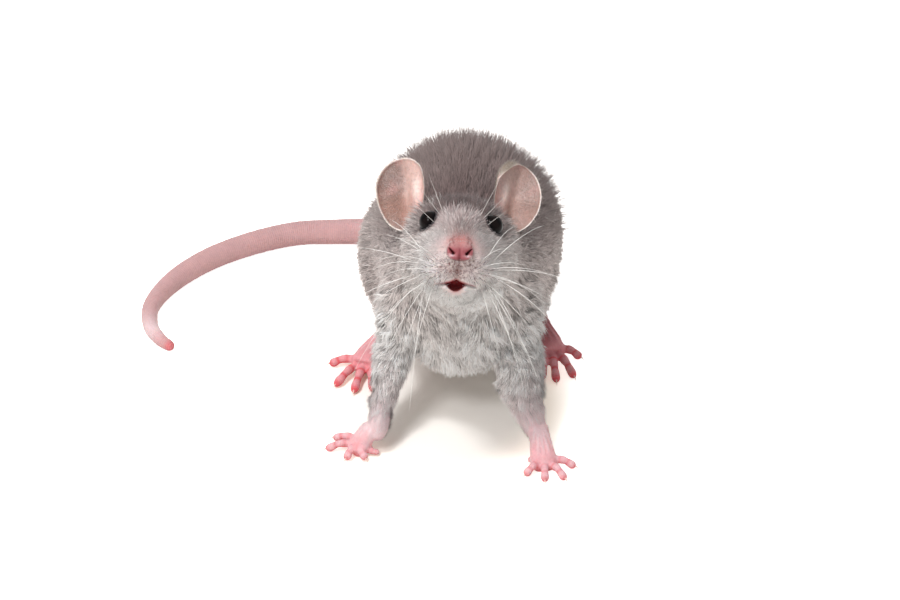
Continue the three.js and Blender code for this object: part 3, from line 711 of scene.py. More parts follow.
skin_points = points_of(skin.data)
head_part = (skin_points @ FORWARD) > (HEAD_CENTRE @ FORWARD) - 16
out, back = face_relief(skin_points[head_part])
moved = skin_points[head_part] + out[:, None] * normals_of(skin.data)[head_part]
skin_normals = normals_of(skin.data)
folds = ripple(skin_points * [1.0, 1.0, 0.4], 1.5, 62)[0] * step(9, 6, skin_points[:, 2])
relief_of_feet = 0.24 * tendons(skin_points, skin_normals) + 0.05 * folds
skin_points += relief_of_feet[:, None] * skin_normals
skin_points[head_part] = moved - back[:, None] * FORWARD
skin_points[:, 2] = np.maximum(skin_points[:, 2], 0.0)  # what stands on the floor is pressed flat
move_points(skin.data, skin_points)
print("points modelled on the head:", int(head_part.sum()))

# %% [markdown]
# ## Thinning the skin
#
# The fine mesh is only needed where skin shows: on the face, hands, feet and tail. Under thick fur
# a coarse one does. The Decimate modifier thins a mesh by a vertex group, whose weight says how
# much each place may give up. The bare parts are the muzzle and all that lies low on the floor.

# %% Thinning
_, along, _ = head_place(skin_points)
covered = np.where((along < 2) & (skin_points[:, 2] > 12), 1.0, np.where(along > 12, 0.02, 0.12))
group = skin.vertex_groups.new(name="covered")
for weight in np.unique(covered):
    group.add(np.flatnonzero(covered == weight).tolist(), float(weight), "REPLACE")
thin = skin.modifiers.new("thin", "DECIMATE")
thin.ratio, thin.vertex_group, thin.vertex_group_factor = 0.25, "covered", 1.0
settle(skin)
skin.vertex_groups.clear()
skin.data.calc_loop_triangles()
print("skin:", len(skin.data.loop_triangles), "triangles")

# %% [markdown]
# ## Shares of each place
#
# At a shoulder the body and the arm both have a say. Each region's share falls off with how much
# farther its surface is than the nearest one, so colours and the lie of the fur change smoothly
# from one to the other.

# %% Shares
skin_points, skin_normals = points_of(skin.data), normals_of(skin.data)
owner, places, out = owners(skin_points)
share = np.exp(-(out - out.min(axis=1, keepdims=True)) / 1.3)
share /= share.sum(axis=1, keepdims=True)


def shared(value):
    """Each region's value at its own places, weighed by the regions' shares."""
    each = [np.asarray(value(name, *places[name][:2]), float) for name in REGIONS]
    return sum(share[:, i].reshape(-1, *[1] * (each[i].ndim - 1)) * v for i, v in enumerate(each))


def of_kind(*kinds):
    """The share of all regions whose names start so, or hold that word."""
    wanted = [i for i, n in enumerate(REGIONS) if any(n.startswith(k) or k in n[4:] for k in kinds)]
    return sum(share[:, i] for i in wanted)


def run_of(name, t):
    """How many mm a limb's line has run at t."""
    grid = np.linspace(0, 1, 200)
    steps = np.linalg.norm(np.diff(section(name, grid)[0], axis=0), axis=1)
    return np.interp(t, grid, np.concatenate([[0], np.cumsum(steps)]))


def strand_place(name, t, angle):
    """A place for noise that runs in streaks along the hair: the mm round the region, the mm along
    it made much shorter, and a number that keeps the regions apart."""
    girth = 26.0 if name == "body" else 6.0
    return np.stack([girth * angle, 0.28 * run_of(name, t), np.full(len(t), 9.0 * REGIONS.index(name))], 1)


coat_depth = shared(lambda name, t, angle: section(name, t)[7])
ON_BODY = of_kind("body")
PLACE = head_place(skin_points)
body_t, body_angle, _ = places["body"]
up = np.sin(body_angle)
STRAND = shared(strand_place)
print("deepest coat:", round(float(coat_depth.max()), 2), "mm")

# %% [markdown]
# ## Markings
#
# A grey rat is dark slate along the back, mid grey on the flanks and nearly white below, with pink
# skin on nose, ears, hands, feet and tail. These are a few named tones, laid over each other by
# masks that are formulas of the place. The same colours go to the skin and to the hairs that grow
# from it. Screen values are turned to linear light once, here.

# %% Markings
def tone(red, green, blue):
    """A colour of screen values 0..255 as linear light: the usual 2.4 power with its straight toe."""
    v = np.array([red, green, blue]) / 255
    return np.where(v <= 0.04045, v / 12.92, ((v + 0.055) / 1.055) ** 2.4)


TONES = dict(
    slate=tone(134, 117, 114), mouse=tone(176, 161, 157), silver=tone(227, 215, 211),
    cream=tone(252, 247, 244), forehead=tone(200, 180, 178), bridge=tone(156, 120, 116),
    muzzle=tone(253, 244, 242), crown=tone(96, 76, 74), blush=tone(242, 216, 218),
    rose=tone(242, 198, 203), red=tone(226, 90, 98), nose=tone(160, 80, 87), nose_top=tone(188, 108, 104),
    nose_dark=tone(98, 30, 36), maroon=tone(128, 66, 70), mouth=tone(150, 50, 54), lip=tone(184, 120, 118),
    lid=tone(38, 32, 34), tail=tone(208, 164, 164), tail_dark=tone(176, 126, 128), dot=tone(96, 40, 42),
)


def over(base, name, mask):
    """The named tone laid over a base colour as far as the mask says."""
    return base + (TONES[name] - base) * np.clip(mask, 0, 1)[:, None]


def limb_sort(name):
    """Which sort of limb a region is of, read off the start of its name."""
    sorts = ("upper_arm", "forearm", "thigh", "shank", "hand", "foot")
    return next(sort for sort in sorts if name.startswith(sort))


def all_of(colour, name, mask=1.0):
    """The named tone laid over every point by one share."""
    return over(colour, name, np.full(len(colour), mask))


def toe_creases(t):
    """1 in the folds over a toe's two joints, and at its tip."""
    return np.exp(-(((t - 0.36) / 0.045) ** 2)) + np.exp(-(((t - 0.66) / 0.045) ** 2)) + step(0.8, 0.97, t)


def region_colour(name, t, angle):
    """The colour of one region at its places t and angle."""
    s, c = np.sin(angle), np.cos(angle)
    start = np.repeat(TONES["mouse"][None], len(t), 0)
    if name == "body":
        colour = over(start, "slate", step(0.0, 0.6, s))
        colour = over(colour, "silver", step(-0.02, -0.42, s))
        colour = over(colour, "cream", step(-0.45, -0.75, s))
        nape = step(AT["ears"], AT["shoulders"], t) * step(AT["ribs"], AT["breast"], t)
        colour = over(colour, "crown", 0.75 * nape * step(0.45, 0.85, s))
        chest = step(AT["ribs"], AT["shoulders"], t) * step(0.5, -0.1, s)
        colour = over(colour, "silver", 0.8 * chest * step(-0.85, -0.62, s))
        return over(colour, "cream", 0.9 * chest * step(0.2, 0.04, np.abs(c)) * step(0.0, -0.5, s))
    if name == "tail":
        # Painted shade: darker below, where the tail faces the floor, and a little darker near its root.
        colour = over(all_of(start, "tail"), "tail_dark", 0.7 * step(0.1, -0.8, s) + 0.2 * step(0.2, 0.0, t))
        # Painted highlight: paler on top at the turn of the tail.
        colour = over(colour, "blush", 0.75 * np.exp(-(((t - 0.86) / 0.06) ** 2)) * step(-0.6, 0.3, s))
        return over(colour, "red", 0.55 * step(0.955, 0.99, t) + 0.12 * step(0.86, 0.95, t))
    sort = limb_sort(name)
    if sort == "upper_arm":
        return over(over(start, "silver", step(-0.3, 0.3, t)), "cream", 0.9 * step(0.1, 0.7, t))
    if sort == "thigh":
        return over(all_of(start, "silver", 0.3), "cream", 0.4 * step(0.3, -0.8, s))
    if sort in ("forearm", "shank"):
        colour = over(all_of(start, "silver"), "cream", 0.9 * step(0.7, 0.3, t))
        colour = over(colour, "blush", step(0.3, 0.8, t))
        # Painted shade: the left shank darker towards its foot.
        return over(colour, "maroon", 0.7 * (name == "shank_left") * step(0.5, 0.9, t))
    ruddy = 0.42 if sort == "foot" else 0.04
    if "toe" in name:
        redness = ruddy + 0.06 + 0.55 * toe_creases(t) + 0.6 * step(0.25, -0.6, s)
        colour = over(all_of(start, "rose"), "red", redness)
        # Painted shade on the toes of the left hind foot.
        return over(colour, "maroon", 0.3 * name.startswith("foot_left") * step(0.4, 0.0, t))
    knuckles = step(0.7, 1.0, t) * step(0.2, 0.8, np.abs(c))
    colour = over(all_of(start, "blush"), "rose", step(0.1, 0.7, t))
    # Painted shade over the back of the left hind foot.
    if name == "foot_left":
        colour = over(colour, "maroon", 0.8 * step(0.95, 0.5, t))
    return over(colour, "red", 0.6 * ruddy + 0.02 + 0.5 * knuckles + 0.45 * step(0.1, -0.7, s))


coat_tone = shared(region_colour)
print("mean tone of the regions:", coat_tone.mean(axis=0).round(3))

# %% [markdown]
# ## Markings of the face
#
# A face is told by small things: a dark cap between the eyes, dark rims, a grey bridge and pale
# whisker pads. Each is a soft hill of one tone at its place. What is bare gets its tones last, with
# the formulas that also shaped it.

# %% Markings of the face
def laid_over(colour, coats):
    """Named tones laid over a base colour one after the other, each as far as its mask says."""
    for name, mask in coats:
        colour = over(colour, name, mask)
    return colour


def head_markings(colour, points, place):
    """The tones of the furred face, laid over the body's."""
    x, along, rise = place
    mirror = (np.abs(x), along, rise)
    on = (along > -16) * ON_BODY
    ragged = 1.1 * ripple(points, 1.7, 71)[0]
    cap = on * step(8.5, 4.5, along + ragged) * step(5.2, 7.4, rise + ragged)
    rims = [0.65 * on * step(5.4, 3.9, eye_ring(points, side)[0]) * (along > -2) for side in SIDES]
    # Greyer on the right cheek and down that side of the neck; painted shade behind the left cheek.
    off = np.hypot(x, rise + 4)
    beside = step(6, -4, x) * step(9, 13, off) * step(27, 20, off) * step(3, -2, rise) * ON_BODY
    beside *= step(8, 4, along) * step(-34, -24, along)
    behind = 0.4 * bump_at((x, rise), (22, -4), (6, 5)) * step(-6, -12, along) * ON_BODY
    return laid_over(colour, [
        ("silver", on * step(-10, 0, along) * step(6, 0, rise)),
        ("forehead", on * step(-8, -1, along) * step(0, 4, rise)),
        ("crown", cap * step(9.5, 5.0, np.abs(x))),
        *[("crown", rim) for rim in rims],
        ("slate", on * 0.7 * bump_at(mirror, (6.2, 3.4, 8.0), (1.9, 1.7, 1.3))),
        ("bridge", on * bump_at(place, (0.2, 17, 0.6), (3.0, 6.0, 2.4)) * 0.9),
        ("slate", on * 0.75 * bump_at(place, (0.5, 13.5, 3.0), (0.9, 3.0, 1.3))),
        ("forehead", on * 0.3 * bump_at(mirror, (10.5, 3.0, -3.5), (4.0, 6.0, 4.5))),
        ("muzzle", on * bump_at(mirror, (6.0, 16, -8.2), (3.6, 5.5, 3.8)) * 1.2),
        ("bridge", on * 0.5 * bump_at(mirror, (0.6, 19, -7.6), (3.0, 5.0, 2.0))),
        ("forehead", on * 0.8 * bump_at(mirror, (5.2, 18, -2.8), (1.9, 5.0, 2.4))),
        ("cream", on * step(-10.5, -12.5, rise) * step(-14, -4, along)),
        ("mouse", 0.5 * beside),
        # Painted shade behind the left cheek.
        ("slate", behind),
    ])


# Places across and up the head of the dark roots below the nose, where every second one stands on
# the other side, and of the pores on top of the nose.
STUBBLE = np.random.default_rng(77).uniform((0.15, -9.8), (5.4, -5.4), (150, 2))
STUBBLE_DEPTH = 1 - 0.1 * STUBBLE[:, 0]
STUBBLE[::2, 0] *= -1
NOSE_DOTS = np.random.default_rng(78).uniform((0.9, -2.1), (2.8, 0.5), (26, 2))


def dots(near, across, high, centres, size, depths):
    """Small round hills of these depths at the centres, summed where near holds, and at most 1."""
    shade = np.zeros(len(near))
    for centre, depth in zip(centres, depths):
        shade[near] += bump_at((across[near], high[near]), centre, size) * depth
    return np.clip(shade, 0, 1)


def bare_markings(colour, points, place):
    """What is bare on the face: the nose, the lips and mouth, and the lids."""
    x, along, rise = place
    pad, gap = nose_pad(x, along, rise), mouth_gap(x, along, rise)
    aside = np.abs(x - NOSE_PAD["middle"])
    nose, lips = (aside, rise), (x - MOUTH["middle"], rise)
    below_nose = (along > 14) & (np.abs(x) < 6.5) & (rise < -4.8) & (rise > -11)
    stubble = dots(below_nose, x, rise, STUBBLE, (0.12, 0.14), STUBBLE_DEPTH)
    on_nose = (along > 17) & (aside < 3.4) & (rise > -2.8) & (rise < 1.2)
    pores = dots(on_nose, aside, rise, NOSE_DOTS, (0.12, 0.12), np.ones(len(NOSE_DOTS)))
    rim = np.exp(-(((pad - 0.45) / 0.35) ** 2)) * (pad > 0.02)
    inside = np.clip(nostril_depth(x, along, rise) / NOSTRIL["depth"] * 1.6, 0, 1)
    groove = bump_at((x, rise), (-0.1, -8.2), (0.35, 1.5)) * (along > 14)
    eyes = [eye_ring(points, side) for side in SIDES]
    return laid_over(colour, [
        ("dot", 0.9 * stubble * (1 - pad)),
        ("nose_top", 0.95 * bump_at((aside, along, rise), (0, 20.0, -1.1), (2.7, 3.0, 1.9))),
        ("nose", pad * (1 - 0.8 * step(-3.0, -1.0, rise))),
        ("nose_dark", 0.6 * pores),
        # Painted shade along the pad's lower edge.
        ("nose_dark", 0.6 * rim * step(-1.4, -3.6, rise)),
        ("nose_dark", 0.4 * pad * bump_at(nose, (0, -5.3), (2.2, 0.5))),
        # Painted highlight under each nostril.
        ("blush", 0.75 * pad * bump_at(nose, (2.0, -4.25), (0.55, 0.2))),
        # Painted shade inside the nostrils and in the split below the nose.
        ("nose_dark", 0.95 * inside),
        ("nose_dark", 0.6 * bump_at(nose, (0, -4.7), (0.18, 1.0)) * (along > 17)),
        ("lip", 0.4 * groove),
        ("lip", 0.6 * bump_at(lips, (0, -13.2), (2.2, 0.75)) * (along > 8)),
        ("lip", 0.6 * mouth_gap(x, along, rise, 0.5)),
        ("mouth", mouth_gap(x, along, rise, 0.22)),
        ("lip", gap * bump_at(lips, (0, -12.3), (1.1, 0.4)) * 0.35),
        # Painted shadow along the closed lips.
        ("maroon", 0.9 * lip_line(x, along, rise)),
        *[("lid", step(3.85, 3.3, ring) * step(-0.5, 0.6, depth)) for ring, depth in eyes],
    ])


coat_tone = head_markings(coat_tone, skin_points, PLACE)
# What faces down between the forearms is cream: its pale fur, lightened further as painted light where it
# faces down into shade. The backs of hands and feet are redder between their tendons. Soft mottling goes over
# everything, with streaks along the back.
# Painted light: cream on what faces down between the forearms.
below = 0.7 * bump_at((PLACE[0], PLACE[2]), (0, -33), (9, 6)) * step(0.2, -0.3, skin_normals[:, 2])
coat_tone = over(coat_tone, "cream", below * ON_BODY)
backs = step(0.0, 0.5, skin_normals[:, 2]) * of_kind("hand", "foot") * (1 - of_kind("toe"))
coat_tone = over(coat_tone, "red", 0.3 * backs * (1 - tendons(skin_points, skin_normals)))
streaks = ripple(np.stack([30 * body_angle, 60 * body_t, 0 * body_t], 1), 5.0, 5)[0] * step(-0.3, 0.3, up)
mottle = ripple(skin_points, 7.0, 3)[0] * 0.05 + ripple(skin_points, 2.2, 4)[0] * 0.04 + 0.09 * streaks
coat_tone = np.clip(coat_tone * (1 + mottle)[:, None], 0, 1)
print("mean tone of coat and skin:", coat_tone.mean(axis=0).round(3))

# %% [markdown]
# ## What the skin remembers
#
# A mesh can hold values of its own at every point. The skin's material reads its colour there, how
# wet it is, how far along a tail or toe it lies, and how much that shows as rings, so no picture has
# to be wrapped round the animal. Under fur the skin is darker, since it lies in the hair's shade.

# %% Attributes on the skin
def set_colour(mesh, name, colours):
    """Stores one linear colour for each point of a mesh."""
    layer = mesh.color_attributes.new(name, "FLOAT_COLOR", "POINT")
    flat = np.ones((len(colours), 4), np.float32)
    flat[:, :3] = colours
    layer.data.foreach_set("color", flat.ravel())


def set_number(mesh, name, values):
    """Stores one number for each point of a mesh."""
    mesh.attributes.new(name, "FLOAT", "POINT").data.foreach_set("value", values.astype(np.float32))


x, along, rise = PLACE
lid = sum(step(3.7, 3.25, r) * step(-0.5, 0.6, d) for r, d in (eye_ring(skin_points, side) for side in SIDES))
on_pad, in_mouth = nose_pad(*PLACE), mouth_gap(*PLACE)
on_tail, on_toes = of_kind("tail"), of_kind("toe")
bare_pad = on_pad * (1 - 0.8 * step(-1.6, -0.2, rise))
bare = np.clip(bare_pad + mouth_gap(*PLACE, 0.9) + lid + lip_line(*PLACE), 0, 1)
hair_shade = 1 - 0.45 * step(0.7, 1.7, coat_depth)
skin_tone = bare_markings(coat_tone * hair_shade[:, None], skin_points, PLACE)
set_colour(skin.data, "markings", skin_tone)
set_number(skin.data, "wet", np.clip(0.55 * on_pad + in_mouth, 0, 1))
rings = shared(lambda name, t, angle: run_of(name, t) if name == "tail" or "toe" in name else 0 * t)
set_number(skin.data, "rings", rings)
set_number(skin.data, "ringed", np.clip(on_tail + 0.5 * on_toes, 0, 1))
print("bare points:", int((bare > 0.5).sum()))

# %% [markdown]
# ## Shader groups
#
# All finishes share one effect: a fine uneven grain that shifts the colour a little and gives the
# height of the pores. It is one node group with named inputs, placed in each material with its own
# size and strength. It puts out a colour and a height, and the shader stays outside.

# %% Grain
def number_of(tree, name):
    """The output of an attribute node that reads a number."""
    node = tree.nodes.new("ShaderNodeAttribute")
    node.attribute_name = name
    return node.outputs["Fac"]


def maths(tree, operation, *values):
    """The output of one Math node, whose inputs are outputs of others or plain numbers."""
    node = tree.nodes.new("ShaderNodeMath")
    node.operation = operation
    for socket, value in zip(node.inputs, values):
        if isinstance(value, (int, float)):
            socket.default_value = value
        else:
            tree.links.new(value, socket)
    return node.outputs[0]


def scaled(tree, colour, factor):
    """The output of a node that multiplies a colour by a number."""
    node = tree.nodes.new("ShaderNodeVectorMath")
    node.operation = "SCALE"
    tree.links.new(colour, node.inputs[0])
    tree.links.new(factor, node.inputs["Scale"])
    return node.outputs[0]


def grain_group():
    """Height is a three-octave noise plus the distance to the nearest pore. The colour is scaled by
    one plus the contrast times what the noise has over a half."""
    group = bpy.data.node_groups.new("Grain", "ShaderNodeTree")
    inputs = (
        ("Color", "NodeSocketColor", (0.5, 0.5, 0.5, 1)),
        ("Size mm", "NodeSocketFloat", 1.0),
        ("Contrast", "NodeSocketFloat", 0.15),
    )
    for name, kind, value in inputs:
        group.interface.new_socket(name, in_out="INPUT", socket_type=kind).default_value = value
    group.interface.new_socket("Color", in_out="OUTPUT", socket_type="NodeSocketColor")
    group.interface.new_socket("Height", in_out="OUTPUT", socket_type="NodeSocketFloat")
    start, end = group.nodes.new("NodeGroupInput"), group.nodes.new("NodeGroupOutput")
    where = group.nodes.new("ShaderNodeTexCoord").outputs["Object"]
    broad, pores = group.nodes.new("ShaderNodeTexNoise"), group.nodes.new("ShaderNodeTexVoronoi")
    broad.inputs["Detail"].default_value = 3.0
    scale = maths(group, "DIVIDE", 1 / MM, start.outputs["Size mm"])
    pore_scale = maths(group, "MULTIPLY", scale, 2.4)
    for texture, size in ((broad, scale), (pores, pore_scale)):
        group.links.new(where, texture.inputs["Vector"])
        group.links.new(size, texture.inputs["Scale"])
    noise = broad.outputs["Fac"]
    swing = maths(group, "MULTIPLY_ADD", maths(group, "SUBTRACT", noise, 0.5), start.outputs["Contrast"], 1.0)
    group.links.new(scaled(group, start.outputs["Color"], swing), end.inputs["Color"])
    group.links.new(maths(group, "ADD", noise, pores.outputs["Distance"]), end.inputs["Height"])
    return group


GRAIN = grain_group()


def new_material(name, attribute, size, contrast, roughness, bump, **constants):
    """A Principled material whose colour is read from an attribute and goes through the grain. Its
    bump is in mm, and all other named sockets are constants. Returns the material and its nodes."""
    made = bpy.data.materials.new(name)
    made.use_nodes = True
    tree = made.node_tree
    shader = tree.nodes["Principled BSDF"]
    grain = tree.nodes.new("ShaderNodeGroup")
    grain.node_tree = GRAIN
    grain.inputs["Size mm"].default_value = size
    grain.inputs["Contrast"].default_value = contrast
    source = tree.nodes.new("ShaderNodeAttribute")
    source.attribute_name = attribute
    tree.links.new(source.outputs["Color"], grain.inputs["Color"])
    tree.links.new(grain.outputs["Color"], shader.inputs["Base Color"])
    relief = tree.nodes.new("ShaderNodeBump")
    relief.inputs["Strength"].default_value = 1.0
    relief.inputs["Distance"].default_value = bump * MM
    tree.links.new(grain.outputs["Height"], relief.inputs["Height"])
    tree.links.new(relief.outputs["Normal"], shader.inputs["Normal"])
    shader.inputs["Roughness"].default_value = roughness
    for socket, value in constants.items():
        shader.inputs[socket.replace("_", " ")].default_value = value
    return made, tree, shader, grain, relief


print("shader groups:", [g.name for g in bpy.data.node_groups])

# %% [markdown]
# ## The skin's finish
#
# Bare skin is soft and lets light in, so it has a little subsurface scattering. The nose and the
# inside of the mouth are moist. A rat's tail is covered in rings of small scales, and its toes in
# ring-like folds: both are a sine wave of the length along the limb, which is stored on the skin.

# %% Skin material
RING_STEP = 0.68  # mm from one ring of scales to the next
skin_finish, tree, shader, grain, relief = new_material(
    "skin", "markings", size=0.55, contrast=0.3, roughness=0.5, bump=0.12, Subsurface_Weight=0.2,
    Subsurface_Radius=(1.0, 0.4, 0.25), Subsurface_Scale=0.5 * MM, Specular_IOR_Level=0.35,
)
phase = maths(tree, "MULTIPLY", number_of(tree, "rings"), 2 * np.pi / RING_STEP)
wave = maths(tree, "MULTIPLY", maths(tree, "SINE", phase), number_of(tree, "ringed"))
height = maths(tree, "MULTIPLY_ADD", wave, 0.4, grain.outputs["Height"])
tree.links.new(height, relief.inputs["Height"])
shine = maths(tree, "MULTIPLY_ADD", number_of(tree, "wet"), -0.33, 0.55)
tree.links.new(shine, shader.inputs["Roughness"])
lighter_on_rings = maths(tree, "MULTIPLY_ADD", wave, 0.045, 0.98)
tree.links.new(scaled(tree, grain.outputs["Color"], lighter_on_rings), shader.inputs["Base Color"])
skin.data.materials.clear()
skin.data.materials.append(skin_finish)
print("skin material:", len(tree.nodes), "nodes")

# %% [markdown]
# ## How the coat lies
#
# Fur grows back from the nose along the body, down the legs and out to the tips. Each region's own
# heading gives that, shared out near its borders. The thigh's line runs forward to the knee while
# its fur falls down and back, so it has a lie of its own.

# %% The lie of the coat
def lie(name, t, angle):
    """The way that the fur runs: a region's heading, turned down a little on the sides and back of
    the trunk, and a fixed way on the thighs."""
    heading = section(name, t)[3]
    if name.startswith("thigh"):
        return np.repeat(np.array([[0, 0.72, -0.69]]), len(t), 0)
    if name == "body":
        return heading + np.outer(0.3 * step(-0.9, 0.2, np.cos(2 * angle)), [0, 0, -1.0])
    return heading


def flat_on(normals, v):
    """v with what points along the normals taken out."""
    return v - (v * normals).sum(axis=1, keepdims=True) * normals


x, along, rise = PLACE
on_lips = bump_at((np.abs(x), rise), (1.0, -7.6), (4.0, 2.2)) * (along > 14)
lay = unit(flat_on(skin_normals, shared(lie)))
on_face = step(-14, -4, along) * ON_BODY
# On the chest and shoulders the fur swirls into locks, but much less between the forearms.
to_the_front = step(AT["ribs"], AT["shoulders"], body_t)
between_arms = bump_at((x, rise), (0, -33), (9, 7)) * ON_BODY * to_the_front
swirl = step(0.2, -0.2, up) * to_the_front * of_kind("body", "upper_arm", "forearm")
swirl *= 1 - 0.75 * between_arms
yaw = swirl * (1.2 * ripple(skin_points, 12.0, 21)[0] + 0.9 * ripple(skin_points, 6.0, 23)[0])
yaw += 0.14 * ripple(skin_points, 9.0, 22)[0]
lay = unit(lay * np.cos(yaw)[:, None] + np.cross(skin_normals, lay) * np.sin(yaw)[:, None])
print("lie of the coat on the back:", lay[(up > 0.95) & (body_t > 0.6)].mean(axis=0).round(2))

# %% [markdown]
# ## Tufts
#
# A coat could be particle hair, but only solid mesh keeps its shape in every program. Each tuft is
# a slim closed spike: three points round its root, three halfway, and one at its tip, which makes
# ten triangles. On the face and legs the hair is so short that a straight spike of four triangles
# does. Roots are spread evenly by area, and each spike takes its place, lie, length and colour
# from the skin under it. A random field pulls nearby tips together, so the coat parts into locks.

# %% Seeds
def surface_of(mesh):
    """What roots need of a mesh: its points, its normals, its triangles and their areas."""
    mesh.calc_loop_triangles()
    corners = np.empty(len(mesh.loop_triangles) * 3, np.int32)
    mesh.loop_triangles.foreach_get("vertices", corners)
    corners, points = corners.reshape(-1, 3), points_of(mesh)
    a, b = (points[corners[:, k]] - points[corners[:, 0]] for k in (1, 2))
    areas = np.linalg.norm(np.cross(a, b), axis=1) / 2
    return dict(points=points, normals=normals_of(mesh), corners=corners, areas=areas)


SKIN = surface_of(skin.data)


def seed_roots(density, seed, surface=SKIN):
    """Roots spread by density per square mm: even steps along the running sum of area times
    density pick the triangles, and two random numbers the place in each. Gives the triangles'
    corners and the weights of the three."""
    local = np.random.default_rng(seed)
    total = np.cumsum(surface["areas"] * density[surface["corners"]].mean(axis=1))
    count = int(total[-1])
    picked = np.searchsorted(total, (np.arange(count) + local.uniform(0, 1, count)) * total[-1] / count)
    held = surface["corners"][np.minimum(picked, len(total) - 1)]
    a, b = np.sqrt(local.uniform(0, 1, count)), local.uniform(0, 1, count)
    return held, np.stack([1 - a, a * (1 - b), a * b], 1)


def at_roots(values, roots):
    """Values of the skin's points, weighed at the roots."""
    held, weights = roots
    return (values[held] * weights.reshape(*weights.shape, *[1] * (values.ndim - 1))).sum(axis=1)


print("skin area in square mm:", round(float(SKIN["areas"].sum())))

# %% [markdown]
# ## One spike, and many of them
#
# All spikes of a piece share one pattern of triangles, so thousands of them are a single sum of
# arrays. Their normals lean out from the skin rather than round the spike, so the light falls over
# them as it does over soft fur. On the unwrap, each has a small patch where its root lies.

# %% Spikes
PATCH = 0.003  # side of a spike's patch, as a part of the unwrap


def spike_pattern(rings):
    """Triangles over points 0..3*rings, and their corners' places in a unit square: the sides are
    laid flat next to each other, with the root's cap below them."""
    faces, flat = [(0, 2, 1)], [(0, 0), (1, 0), (0.5, 0.12)]
    for ring in range(rings):
        low, high = 0.14 + 0.86 * ring / rings, 0.14 + 0.86 * (ring + 1) / rings
        for k in range(3):
            a, b = 3 * ring + k, 3 * ring + (k + 1) % 3
            u, v, middle = k / 3, (k + 1) / 3, (k + 0.5) / 3
            if ring == rings - 1:
                faces.append((a, b, 3 * rings))
                flat += [(u, low), (v, low), (middle, high)]
            else:
                faces += [(a, b, b + 3), (a, b + 3, a + 3)]
                flat += [(u, low), (v, low), (v, high), (u, low), (v, high), (u, high)]
    return np.array(faces), np.array(flat)


def spikes(name, path, wide, colours, chart, normals):
    """One mesh of closed spikes. path lists their points from root to tip, wide their half width at
    each ring, colours one colour for each point of the path. A ring has three points round the
    path, twice as wide along the skin as across it."""
    rings = len(path) - 1
    count = len(path[0])
    faces, flat = spike_pattern(rings)
    points = np.empty((count, 3 * rings + 1, 3))
    tones = np.empty((count, 3 * rings + 1, 3))
    for ring in range(rings):
        axis = unit(path[ring + 1] - path[ring])
        first = unit(np.cross(normals, axis))
        second = np.cross(axis, first) * 0.55
        for k in range(3):
            a = 2 * np.pi * k / 3
            out = first * np.cos(a) + second * np.sin(a)
            points[:, 3 * ring + k] = path[ring] + out * wide[ring][:, None]
            tones[:, 3 * ring + k] = colours[ring]
    points[:, -1], tones[:, -1] = path[-1], colours[-1]
    triangles = (faces[None] + (np.arange(count) * (3 * rings + 1))[:, None, None]).reshape(-1, 3)
    made = mesh_object(name, [(points.reshape(-1, 3), np.empty((0, 4), int), triangles)])
    set_colour(made.data, "tuft_tone", np.clip(tones.reshape(-1, 3), 0, 1))
    low, high = chart.min(axis=0), chart.max(axis=0)
    place = 0.02 + 0.955 * (chart - low) / np.maximum(high - low, 1e-9)
    middle = np.stack([path[ring] for ring in np.repeat(range(rings), 3).tolist() + [rings - 1]], 1)
    soft = unit(0.6 * unit(points - middle) + normals[:, None])
    made.data.normals_split_custom_set_from_vertices(soft.reshape(-1, 3))
    layer = made.data.uv_layers.new(name="OFBake")
    corners_flat = place[:, None, :] + (flat[None] - 0.5) * PATCH
    layer.data.foreach_set("uv", corners_flat.astype(np.float32).ravel())
    return made


# %% [markdown]
# ## Which piece a tuft belongs to
#
# No piece may have more than 200,000 triangles, so the coat is parted where a furrier would cut
# it: face, cheeks, neck, chest, back, rump, flanks, belly, legs and tail. The baking map of a piece
# unwraps its part of the body: the angle round it one way and the length along it the other.

# %% Coat pieces
leg_names = [n for n in REGIONS if n != "body" and n != "tail" and "toe" not in n]


def piece_and_chart(held):
    """For each root: the name of its piece, and its place on that piece's unwrap."""
    home = owner[held[:, 0]]
    name_of = np.array(REGIONS)[home]
    t, angle = np.zeros(len(home)), np.zeros(len(home))
    for i, name in enumerate(REGIONS):
        mine = home == i
        t[mine], angle[mine] = places[name][0][held[mine, 0]], places[name][1][held[mine, 0]]
    turn = np.mod(angle + np.pi / 2, 2 * np.pi) / (2 * np.pi)
    high = np.sin(angle)
    piece = np.full(len(home), "coat_flank_left", dtype="U24")
    on_body = name_of == "body"
    cuts = (  # the last one that holds decides
        ("coat_flank_right", np.cos(angle) < 0),
        ("coat_back", high > 0.62),
        ("coat_rump", (high > 0.62) & (t > AT["hips"])),
        ("coat_belly", high < -0.45),
        ("coat_chest", (t < AT["breast"]) & (high < 0.3)),
        ("coat_neck", (t < AT["shoulders"]) & (high >= 0.3)),
        ("coat_cheeks", t < 0.5 * (AT["ears"] + AT["neck"])),
        ("coat_face", t < AT["eyes"]),
    )
    for label, cut in cuts:
        piece[on_body & cut] = label
    chart = np.stack([turn, t], 1)
    for name in REGIONS:
        mine = name_of == name
        if name == "tail":
            piece[mine] = "coat_tail"
        elif name != "body":
            side = "left" if "left" in name else "right"
            front = name.startswith(("upper_arm", "forearm", "hand"))
            piece[mine] = f"coat_{'fore' if front else 'hind'}leg_{side}"
            row = next(k for k, n in enumerate(leg_names) if name.startswith(n))
            chart[mine, 0] = (row + 0.95 * turn[mine]) / len(leg_names)
    return piece, chart


